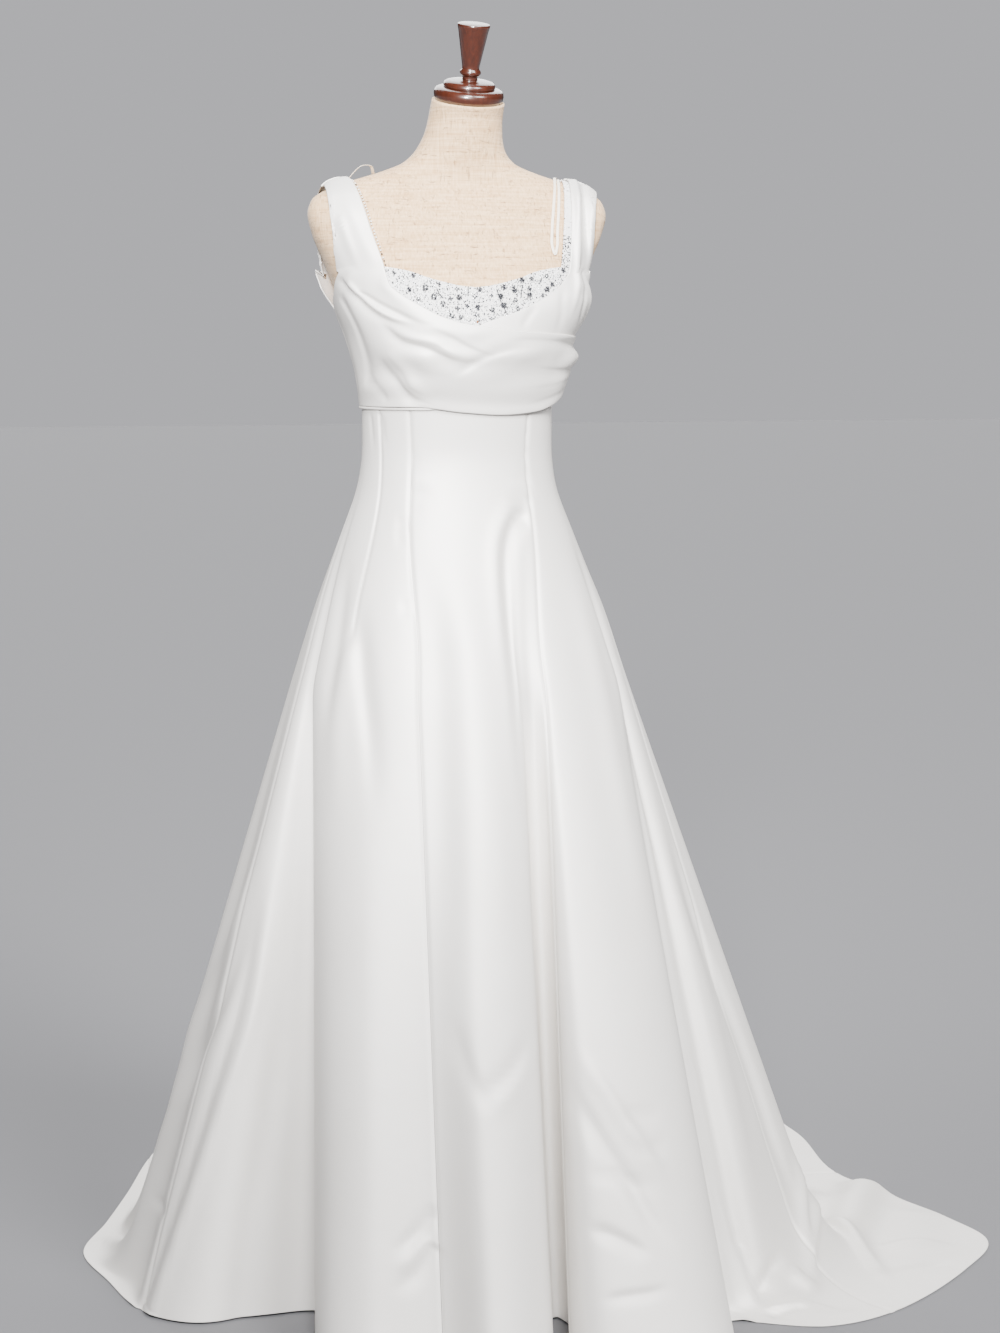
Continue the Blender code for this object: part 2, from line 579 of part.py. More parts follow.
def neck_lean(points):
    """Tips points about the top of the neck, as the neck's top plane leans."""
    axis = math.radians(NECK_LEAN_TOWARDS)
    towards = np.array([math.sin(axis), -math.cos(axis), 0.0])
    side = np.array([math.cos(axis), math.sin(axis), 0.0])
    up = np.array([0.0, 0.0, 1.0])
    lean = math.radians(NECK_LEAN)
    top = np.array([NECK_ASIDE, FORM[-1].middle, NECK_TOP_Z])
    off = np.asarray(points, float) - top
    along, across, rise = off @ towards, off @ side, off @ up
    tipped_along = along * math.cos(lean) + rise * math.sin(lean)
    tipped_rise = rise * math.cos(lean) - along * math.sin(lean)
    return top + np.outer(tipped_along, towards) + np.outer(across, side) + np.outer(tipped_rise, up)


def build_form():
    angles = np.arange(FORM_SIDES) * 360 / FORM_SIDES
    heights = sorted({row.z for row in FORM} | {1.17, 1.2125, 1.2525}, reverse=True)
    rings = [body_point(angles, np.full(FORM_SIDES, z)) for z in heights]
    for ring, z in zip(rings, heights):
        ring[:, 0] += NECK_ASIDE * smooth_step((z - NECK_ROOT_Z) / (NECK_TOP_Z - NECK_ROOT_Z))
    rings[0] = neck_lean(rings[0])
    rings[1] = (rings[1] + (neck_lean(rings[1]) - rings[1]) * 0.6)
    loft("form_torso", rings, "linen")


def build_neck_cap():
    """The turned cap on the neck and its tapered handle, both tipped with the neck."""
    seat = NECK_TOP_Z + SEAM_GAP
    disc = ((0.0395, 0.0), (0.0430, 0.0025), (0.0445, 0.0080), (0.0430, 0.0135), (0.0375, 0.0165))
    step = ((0.0325, 0.0), (0.0330, 0.0030), (0.0310, 0.0065), (0.0245, 0.0085), (0.0120, 0.0098))
    neck = ((0.0100, 0.0), (0.0095, 0.0040), (0.0128, 0.0065), (0.0134, 0.0090), (0.0125, 0.0115),
            (0.0108, 0.0135), (0.0125, 0.0240), (0.0198, 0.0640), (0.0207, 0.0675), (0.0188, 0.0690))
    level = seat
    for name, profile in (("neck_cap_disc", disc), ("neck_cap_step", step), ("neck_handle", neck)):
        made = turned(name, [(r, level + z) for r, z in reversed(profile)], 20, "mahogany")
        middle = np.array([NECK_ASIDE, FORM[-1].middle, 0.0])
        points = neck_lean([np.array(v.co) + middle for v in made.data.vertices])
        for vertex, point in zip(made.data.vertices, points):
            vertex.co = point
        made.data.update()
        level += profile[-1][1] + SEAM_GAP


def build_stand():
    base = ((0.020, BASE_HEIGHT), (0.070, 0.0265), (0.118, 0.0215), (0.134, 0.0165), (BASE_RADIUS, 0.0095),
            (BASE_RADIUS, 0.0040), (0.136, 0.0))
    turned("stand_base", base, 32, "mahogany")
    pole = ((POLE_RADIUS, TORSO_BOTTOM_Z - SEAM_GAP), (POLE_RADIUS, BASE_HEIGHT + SEAM_GAP))
    turned("stand_pole", pole, 20, "steel")


# The bodice


def pleat_height(pleats, row, across):
    """How far the folds of a drape stand out at line number row and share across it."""
    total = np.zeros(np.broadcast(row, across).shape)
    for pleat in pleats:
        share = np.clip((row - pleat.start) / (pleat.end - pleat.start), 0, 1)
        middle = pleat.across_start + (pleat.across_end - pleat.across_start) * share
        ends = smooth_step((row - pleat.start) / 1.2 + 0.15) * smooth_step((pleat.end - row) / 1.2 + 0.45)
        total = total + pleat.height * np.exp(-(((across - middle) / pleat.width) ** 2)) * ends
    return total


def over_shoulder(out, along, lift):
    """A point at a distance out from the middle, along the way over the shoulder, lifted off the form."""
    heights = np.linspace(STRAP_JOINT_Z, 1.46, 260)
    half, front, back, power, middle = form_section(heights).T
    cut = np.clip(1 - (out / half) ** power, 0, 1) ** (1 / power)
    front_side = np.stack([middle - front * cut, heights], axis=1)[half > out]
    back_side = np.stack([middle + back * cut, heights], axis=1)[half > out][::-1]
    line = np.concatenate([front_side, back_side])
    keep = np.concatenate([[True], np.linalg.norm(np.diff(line, axis=0), axis=1) > 1e-6])
    line = line[keep]
    length = np.concatenate([[0], np.cumsum(np.linalg.norm(np.diff(line, axis=0), axis=1))])

    def read(at):
        return np.array([np.interp(at, length, line[:, k]) for k in (0, 1)])

    at = along * length[-1]
    tangent = unit(read(at + 0.012) - read(at - 0.012))
    return np.array([out, *read(at)]) + lift * np.array([0.0, -tangent[1], tangent[0]])


def strap_edges(side, along):
    """The strap's neck edge, outer edge and beaded edge, and its lift, at a share along it."""
    table = np.array(STRAP, float)
    values = steady_curve(table[:, 0], table[:, 1:], np.array([along]))[0]
    return (*(values[:3] if side < 0 else values[3:6]), values[6])


def strap_row(side, along, across, extra):
    inner, outer, beads, lift = strap_edges(side, along)
    base = min(lift, UNDER_LIFT + STRAP_EDGE_LIFT)
    lifts = base + (lift - base) * (1 - np.abs(2 * across - 1) ** 3) + extra
    row = [over_shoulder(inner + (outer - inner) * a, along, rise) for a, rise in zip(across, lifts)]
    return np.array(row) * np.array([side, 1, 1])


def draped_piece(name, side, lines, pleats, lift, rim, shares, steps):
    """A piece of the bodice: its strap, from the shoulder seam to the joint, then line by line.

    rim is 0 where its puffed lines lie down flat at their two ends.
    """
    across = np.linspace(0, 1, steps)
    rows = []
    for k, along in enumerate(shares):
        puff = pleat_height(pleats, np.full(steps, k - len(shares)), across)
        rise = (lift - UNDER_LIFT) * (k + 1) / (len(shares) + 1)
        rows.append(strap_row(side, along, across, puff + rise))
    table = np.array(lines, float)
    places = np.linspace(0, len(lines) - 1, (len(lines) - 1) * 2 + 1)
    bulge = np.sin(math.pi * (rim + (1 - 2 * rim) * across))
    for place, line in zip(places, steady_curve(np.arange(len(lines), dtype=float), table, places)):
        angle = line[0] + (line[2] - line[0]) * across
        z = line[1] + (line[3] - line[1]) * across
        puff = pleat_height(pleats, np.full(steps, place), across) + line[4] * bulge
        rows.append(body_point(angle * side, z, lift + puff))
    grid = np.array(rows)
    if side < 0:
        grid = grid[:, ::-1]
    cloth_wall(name, grid, grid - sheet_normals(grid) * CLOTH, "satin")


def build_bodice():
    seam = 0.0012
    front = np.linspace(SHOULDER_SEAM - seam, 0, STRAP_STEPS, endpoint=False)
    back = np.linspace(SHOULDER_SEAM + seam, 1, STRAP_STEPS, endpoint=False)
    draped_piece("drape_over_right", -1, OVER_DRAPE, OVER_PLEATS, OVER_LIFT, 0.15, front, 11)
    draped_piece("drape_under_left", 1, UNDER_DRAPE, UNDER_PLEATS, UNDER_LIFT, 0.0, front, 9)
    draped_piece("back_bodice_right", -1, BACK_BODICE, BACK_PLEATS, UNDER_LIFT, 0.0, back, 8)
    draped_piece("back_bodice_left", 1, BACK_BODICE, BACK_PLEATS, UNDER_LIFT, 0.0, back, 8)


def build_beaded_bodice():
    table = np.array(NECKLINE, float)
    angles = np.concatenate([-table[:0:-1, 0], table[:, 0]])
    tops = np.concatenate([table[:0:-1, 1], table[:, 1]])
    rows = []
    for share in np.linspace(0, 1, 5):
        z = tops + (BEADED_BOTTOM_Z - tops) * share
        rows.append(body_point(angles, z, BEADED_LIFT))
    grid = np.array(rows)
    cloth_wall("beaded_bodice", grid, grid - sheet_normals(grid) * BEADED_CLOTH, "beading")


def build_beaded_strap(name, side):
    rows = []
    for along in np.linspace(0.012, 0.97, 19):
        beads = strap_edges(side, along)[2]
        row = [over_shoulder(beads + BEADED_STRAP_WIDTH * a, along, BEADED_STRAP_LIFT) for a in (0, 0.5, 1)]
        rows.append(np.array(row) * np.array([side, 1, 1]))
    grid = np.array(rows)[::-1]
    if side < 0:
        grid = grid[:, ::-1]
    cloth_wall(name, grid, grid - sheet_normals(grid) * BEADED_CLOTH, "beading")


def tube(name, points, radius, finish):
    """A round cord along a smooth curve through the points."""
    points = np.array(points)
    knots = np.concatenate([[0], np.cumsum(np.linalg.norm(np.diff(points, axis=0), axis=1))])
    count = min(80, math.ceil(knots[-1] / (6 * radius)) + 1)
    fine = round_curve(knots, points, np.linspace(0, knots[-1], count))
    curve = bpy.data.curves.new(name, "CURVE")
    curve.dimensions = "3D"
    curve.bevel_depth = radius
    curve.bevel_resolution = 2
    curve.use_fill_caps = True
    spline = curve.splines.new("POLY")
    spline.points.add(count - 1)
    for place, point in zip(spline.points, fine):
        place.co = (*point, 1.0)
    curve.materials.append(material(finish))
    made = bpy.data.objects.new(name, curve)
    bpy.context.scene.collection.objects.link(made)


def build_trims():
    angles = np.linspace(*PIPING_ENDS, 15)
    radius = midriff_radius(angles, EMPIRE_Z) + PIPING_RADIUS + PIPING_GAP
    plan = polar(angles, radius)
    route = np.concatenate([plan, np.full((len(angles), 1), EMPIRE_Z)], axis=1)
    tube("empire_piping", route, PIPING_RADIUS, "satin")
    for name, side, loop in (("hanger_loop_right", -1, RIGHT_LOOP), ("hanger_loop_left", 1, LEFT_LOOP)):
        route = [over_shoulder(*point) * np.array([side, 1, 1]) for point in loop]
        tube(name, route, RIBBON_RADIUS, "ribbon")


def main():
    for old in list(bpy.data.objects):
        bpy.data.objects.remove(old)
    build_skirt()
    build_form()
    build_neck_cap()
    build_stand()
    build_bodice()
    build_beaded_bodice()
    build_beaded_strap("beaded_strap_right", -1)
    build_beaded_strap("beaded_strap_left", 1)
    build_trims()


main()
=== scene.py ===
import bpy, bmesh, json, math, random
import numpy as np
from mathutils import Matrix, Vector

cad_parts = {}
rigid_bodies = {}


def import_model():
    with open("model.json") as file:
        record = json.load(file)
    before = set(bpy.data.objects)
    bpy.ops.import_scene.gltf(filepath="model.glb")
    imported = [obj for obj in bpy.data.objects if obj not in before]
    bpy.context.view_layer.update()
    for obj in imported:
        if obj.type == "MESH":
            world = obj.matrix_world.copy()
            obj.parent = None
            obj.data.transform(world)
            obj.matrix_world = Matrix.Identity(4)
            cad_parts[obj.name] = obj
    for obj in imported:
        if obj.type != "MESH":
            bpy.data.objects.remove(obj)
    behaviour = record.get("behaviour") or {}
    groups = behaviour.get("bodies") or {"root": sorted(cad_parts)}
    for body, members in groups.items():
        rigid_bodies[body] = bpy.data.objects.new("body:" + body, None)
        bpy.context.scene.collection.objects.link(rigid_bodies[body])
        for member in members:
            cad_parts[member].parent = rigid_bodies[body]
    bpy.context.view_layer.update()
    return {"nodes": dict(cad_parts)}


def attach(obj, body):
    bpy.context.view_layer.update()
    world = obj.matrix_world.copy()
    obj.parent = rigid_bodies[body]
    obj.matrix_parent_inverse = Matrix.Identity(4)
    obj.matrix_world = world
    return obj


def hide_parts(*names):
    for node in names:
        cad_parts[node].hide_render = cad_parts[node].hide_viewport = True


# An A-line wedding gown of ivory satin on a linen dress form. Metres, the gown faces -Y, and the
# wearer's left is +X. Angles are degrees round the body, 0 at the centre front, positive towards +X.

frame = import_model()
nodes = frame["nodes"]
for o in bpy.context.scene.objects:
    o.select_set(False)


def linearColour(hexText):
    values = [int(hexText[k:k + 2], 16) / 255 for k in (1, 3, 5)]
    return [c / 12.92 if c <= 0.04045 else ((c + 0.055) / 1.055) ** 2.4 for c in values] + [1.0]


def addNode(tree, kind, settings=None, inputs=None, **links):
    # one node with its properties, its socket values, and its links from (node, output) pairs
    node = tree.nodes.new(kind)
    for key, value in (settings or {}).items():
        setattr(node, key, value)
    for key, value in (inputs or {}).items():
        node.inputs[key].default_value = value
    for key, (source, output) in links.items():
        place = int(key[1:]) if key[0] == "n" and key[1:].isdigit() else key
        tree.links.new(source.outputs[output], node.inputs[place])
    return node


def newMaterial(name, **sockets):
    made = bpy.data.materials.new(name)
    made.use_nodes = True
    shader = made.node_tree.nodes["Principled BSDF"]
    for key, value in sockets.items():
        shader.inputs[key.replace("_", " ")].default_value = value
    return made, made.node_tree, shader


def smoothStep(x):
    x = np.clip(x, 0.0, 1.0)
    return x * x * (3 - 2 * x)


def unit(vectors):
    return vectors / np.maximum(np.linalg.norm(vectors, axis=-1, keepdims=True), 1e-12)


def curveThrough(knots, values, at, slopes):
    k = np.clip(np.searchsorted(knots, at, side="right") - 1, 0, len(knots) - 2)
    span = (knots[k + 1] - knots[k])[:, None]
    t = (np.asarray(at) - knots[k])[:, None] / span
    return ((1 + 2 * t) * (1 - t) ** 2 * values[k] + t * (1 - t) ** 2 * span * slopes[k]
            + t * t * (3 - 2 * t) * values[k + 1] + t * t * (t - 1) * span * slopes[k + 1])


def roundCurve(knots, values, at):
    return curveThrough(knots, values, at, np.gradient(values, knots, axis=0))


def steadyCurve(knots, values, at):  # never swings past its values
    steps = np.diff(values, axis=0) / np.diff(knots)[:, None]
    before, after = steps[:-1], steps[1:]
    sameWay = before * after > 0
    total = np.where(sameWay, before + after, 1.0)
    inner = np.where(sameWay, 2 * before * after / total, 0.0)
    return curveThrough(knots, values, at, np.concatenate([steps[:1], inner, steps[-1:]]))


def polar(angle, radius):
    turn = np.radians(angle)
    return np.stack([np.sin(turn) * radius, -np.cos(turn) * radius], axis=-1)


def alongLengths(points):
    return np.concatenate([[0], np.cumsum(np.linalg.norm(np.diff(points, axis=0), axis=1))])


def outwardNormals(grid):  # rows go down, columns go round the body
    return unit(np.cross(np.gradient(grid, axis=0), np.gradient(grid, axis=1)))


def edgeDistances(grid):
    # how far each point is from the first and last column, and from the first and last row
    across = np.linalg.norm(np.diff(grid, axis=1), axis=2)
    down = np.linalg.norm(np.diff(grid, axis=0), axis=2)
    fromFirst = np.concatenate([np.zeros((len(grid), 1)), np.cumsum(across, axis=1)], axis=1)
    fromTop = np.concatenate([np.zeros((1, grid.shape[1])), np.cumsum(down, axis=0)], axis=0)
    return fromFirst, fromFirst[:, -1:] - fromFirst, fromTop, fromTop[-1:] - fromTop


edgeOffsets = [0.0, 0.0003, 0.0008, 0.0016, 0.0028, 0.0044, 0.0066]
edgeMargin = 0.002


def readAt(targets, length, values):
    return np.stack([np.interp(targets, length, column) for column in values.T], axis=1)


def resampleRows(grid, extra, count):
    # each row keeps close columns at fixed distances from its two ends, and even ones between them
    margin = edgeOffsets[-1] + edgeMargin
    made, carried = [], []
    for row, values in zip(grid, extra):
        length = alongLengths(row)
        end = length[-1]
        targets = np.concatenate([edgeOffsets, np.linspace(margin, end - margin, count),
                                  end - np.array(edgeOffsets[::-1])])
        made.append(roundCurve(length, row, targets))
        carried.append(readAt(targets, length, values))
    return np.array(made), np.array(carried)


def resampleHem(grid, extra):
    # the last row is split into close rows at fixed distances from the hem
    made, carried = [], []
    for column, values in zip(grid.swapaxes(0, 1), extra.swapaxes(0, 1)):
        length = alongLengths(column)
        end = length[-1]
        inner = length[:-1] * (end - edgeOffsets[-1] - edgeMargin) / length[-2]
        targets = np.concatenate([inner, end - np.array(edgeOffsets[::-1])])
        made.append(roundCurve(length, column, targets))
        carried.append(readAt(targets, length, values))
    return np.array(made).swapaxes(0, 1), np.array(carried).swapaxes(0, 1)


def roundedDip(distance, radius):
    # how far a rolled edge of that radius falls away near the edge
    gone = np.clip(radius - distance, 0, radius)
    return radius - np.sqrt(np.maximum(radius * radius - gone * gone, 0))


def meshObject(name, points, faces, uvs=None):
    mesh = bpy.data.meshes.new(name)
    mesh.from_pydata([tuple(p) for p in points], [], faces)
    if uvs is not None:
        layer = mesh.uv_layers.new(name="UVMap")
        corners = np.array([uvs[v] for face in faces for v in face], np.float32)
        layer.data.foreach_set("uv", corners.ravel())
    mesh.shade_smooth()
    made = bpy.data.objects.new(name, mesh)
    bpy.context.scene.collection.objects.link(made)
    return made


def tubeFaces(count, sides):
    # the faces between rings of points, and one across each end
    faces = [(i * sides + k, i * sides + (k + 1) % sides,
              (i + 1) * sides + (k + 1) % sides, (i + 1) * sides + k)
             for i in range(count - 1) for k in range(sides)]
    return faces + [tuple(range(sides))[::-1], tuple(range((count - 1) * sides, count * sides))]


def clothObject(name, outer, inner, uv):
    # a thin closed shell between two grids, its four edges turned in
    rows, columns = outer.shape[:2]
    points = np.concatenate([outer.reshape(-1, 3), inner.reshape(-1, 3)])
    uvs = np.concatenate([uv.reshape(-1, 2), uv.reshape(-1, 2)])
    back = rows * columns
    index = np.arange(back).reshape(rows, columns)
    a, b, c, d = index[:-1, :-1], index[1:, :-1], index[1:, 1:], index[:-1, 1:]
    faces = np.stack([a, b, c, d], axis=-1).reshape(-1, 4)
    inside = faces[:, ::-1] + back
    rim = np.concatenate([index[:, 0], index[-1, 1:], index[-2::-1, -1], index[0, -2:0:-1]])
    after = np.roll(rim, -1)
    edge = np.stack([after, rim, rim + back, after + back], axis=-1)
    return meshObject(name, points, np.concatenate([faces, inside, edge]).tolist(), uvs)


def finished(piece, finish, slotName, *replaced):
    piece.data.materials.clear()
    piece.data.materials.append(finish)
    if replaced:
        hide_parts(*replaced)
    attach(piece, "root")
    return piece


# The photograph's viewing angle: metres, and degrees down and to the side.
cameraView = {"place": (-0.688, -3.228, 1.25), "down": 7.595, "towards": -13.0, "lens": 68.35}

lens = bpy.data.cameras.new("camera")
lens.lens = cameraView["lens"]
camera = bpy.data.objects.new("camera", lens)
camera.location = cameraView["place"]
camera.rotation_euler = (math.radians(90 - cameraView["down"]), 0,
                         math.radians(cameraView["towards"]))
bpy.context.scene.collection.objects.link(camera)
bpy.context.scene.camera = camera
print("camera set")


# The form's own shape, which the bodice follows too.
body = {
    "neckTop": 1.536, "neckRoot": 1.448, "neckAside": 0.0085, "neckLean": 15.0, "leanTowards": 5.0,
    "leanFrom": 1.495, "strapJoint": 1.326, "shoulderTop": 1.46, "waist": 1.090, "empire": 1.150,
    "hip": 0.800, "ringHeights": ((1.536, 1.30, 90), (1.295, 0.80, 50)), "ringStep": 3,
    # height, half width, depth in front, depth behind, roundness, middle
    "sections": [
        (0.800, 0.158, 0.100, 0.108, 2.2, 0.000), (0.860, 0.161, 0.103, 0.114, 2.2, 0.000),
        (0.930, 0.153, 0.101, 0.110, 2.2, 0.000), (1.000, 0.136, 0.093, 0.094, 2.0, 0.000),
        (1.050, 0.124, 0.085, 0.082, 2.0, 0.000), (1.100, 0.1175, 0.082, 0.0765, 2.0, 0.000),
        (1.150, 0.1190, 0.0915, 0.080, 2.0, 0.000), (1.190, 0.1235, 0.108, 0.084, 2.1, 0.000),
        (1.235, 0.1358, 0.123, 0.089, 2.3, 0.000), (1.270, 0.1490, 0.119, 0.093, 2.4, 0.000),
        (1.305, 0.1600, 0.107, 0.095, 2.5, -0.002), (1.340, 0.1745, 0.090, 0.096, 2.5, -0.005),
        (1.370, 0.1880, 0.073, 0.094, 2.4, -0.008), (1.395, 0.1940, 0.059, 0.090, 2.3, -0.011),
        (1.412, 0.1890, 0.049, 0.086, 2.2, -0.012), (1.424, 0.1720, 0.043, 0.081, 2.1, -0.012),
        (1.436, 0.1390, 0.039, 0.077, 2.0, -0.012), (1.448, 0.1000, 0.039, 0.072, 2.0, -0.012),
        (1.460, 0.0715, 0.041, 0.066, 2.0, -0.013), (1.476, 0.0570, 0.044, 0.059, 2.0, -0.015),
        (1.495, 0.0500, 0.046, 0.053, 2.0, -0.019), (1.515, 0.0470, 0.047, 0.048, 2.0, -0.025),
        (1.536, 0.0460, 0.046, 0.046, 2.0, -0.032),
    ],
}


def formSection(z):
    table = np.array(body["sections"], float)
    within = np.clip(np.atleast_1d(z), table[0, 0], table[-1, 0])
    return steadyCurve(table[:, 0], table[:, 1:], within)


def bodyPoint(angle, z, lift=0.0):
    angle, z, lift = np.broadcast_arrays(*(np.asarray(a, float) for a in (angle, z, lift)))
    turn = np.radians(angle.ravel())
    half, front, behind, power, middle = formSection(z.ravel()).T
    depth = np.where(np.cos(turn) > 0, front, behind)
    spread = (np.abs(np.sin(turn)) / half) ** power + (np.abs(np.cos(turn)) / depth) ** power
    plan = polar(np.degrees(turn), spread ** (-1 / power) + lift.ravel())
    plan[:, 1] += middle
    return np.concatenate([plan, z.ravel()[:, None]], axis=1).reshape(*angle.shape, 3)


def overShoulder(out, along, lift):
    # a place out from the middle of the body, along the way over the shoulder, lifted off the form
    heights = np.linspace(body["strapJoint"], body["shoulderTop"], 260)
    half, front, behind, power, middle = formSection(heights).T
    cut = np.clip(1 - (out / half) ** power, 0, 1) ** (1 / power)
    before = np.stack([middle - front * cut, heights], axis=1)[half > out]
    after = np.stack([middle + behind * cut, heights], axis=1)[half > out][::-1]
    line = np.concatenate([before, after])
    line = line[np.concatenate([[True], np.linalg.norm(np.diff(line, axis=0), axis=1) > 1e-6])]
    length = alongLengths(line)

    def read(at):
        return np.array([np.interp(at, length, line[:, k]) for k in (0, 1)])

    at = along * length[-1]
    tangent = unit(read(at + 0.012) - read(at - 0.012))
    return np.array([out, *read(at)]) + lift * np.array([0.0, -tangent[1], tangent[0]])


# Two narrow ribbons, sewn in at the shoulders, that the gown hangs by.
ribbonLoops = {
    "width": 0.0036, "thick": 0.0007,
    # out from the middle, along the way over the shoulder, height off the form
    "hanger_loop_right": (-1, [
        (0.1405, 0.500, 0.0040), (0.1335, 0.495, 0.0100), (0.1240, 0.490, 0.0150),
        (0.1130, 0.500, 0.0130), (0.1065, 0.540, 0.0060), (0.1045, 0.620, 0.0024),
        (0.1060, 0.700, 0.0024), (0.1115, 0.740, 0.0024), (0.1175, 0.715, 0.0024),
        (0.1260, 0.640, 0.0024), (0.1345, 0.570, 0.0024), (0.1405, 0.530, 0.0026)]),
    "hanger_loop_left": (1, [
        (0.1305, 0.490, 0.0040), (0.1250, 0.440, 0.0028), (0.1190, 0.350, 0.0024),
        (0.1130, 0.250, 0.0024), (0.1080, 0.150, 0.0024), (0.1065, 0.085, 0.0024),
        (0.1095, 0.055, 0.0024), (0.1130, 0.085, 0.0024), (0.1155, 0.150, 0.0024),
        (0.1200, 0.250, 0.0024), (0.1245, 0.350, 0.0024), (0.1285, 0.430, 0.0024)]),
}


def ribbonPath(side, loop):
    # the ribbon's middle line, and the way it faces
    mirror = np.array([side, 1, 1])
    route = np.array([overShoulder(*place) for place in loop]) * mirror
    raised = np.array([overShoulder(out, along, lift + 0.002) for out, along, lift in loop]) * mirror
    length = alongLengths(route)
    at = np.linspace(0, length[-1], 90)
    return roundCurve(length, route, at), roundCurve(length, raised - route, at)


def ribbonObject(name, path, facing):
    # a flat ribbon with soft edges: its section is turned to lie on the form
    tangent = unit(np.gradient(path, axis=0))
    out = unit(facing - (facing * tangent).sum(1, keepdims=True) * tangent)
    flat = np.cross(tangent, out)
    turns = np.linspace(0, 2 * math.pi, 13)[:-1]
    width, thick = ribbonLoops["width"], ribbonLoops["thick"]
    section = [(math.copysign(abs(math.cos(t)) ** 0.6, math.cos(t)) * width / 2,
                math.copysign(abs(math.sin(t)) ** 0.8, math.sin(t)) * thick / 2) for t in turns]
    rings = np.array([path + flat * a + out * b for a, b in section])
    points = rings.swapaxes(0, 1).reshape(-1, 3)
    uvs = [(a, d) for d in alongLengths(path) for a, _ in section]
    return meshObject(name, points, tubeFaces(len(path), len(section)), uvs)


loopPieces = []
for loopName in ("hanger_loop_right", "hanger_loop_left"):
    path, facing = ribbonPath(*ribbonLoops[loopName])
    loop = ribbonObject(loopName + "_ribbon", path, facing)
    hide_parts(loopName)
    loopPieces.append(loop)
print("hanger loops made")


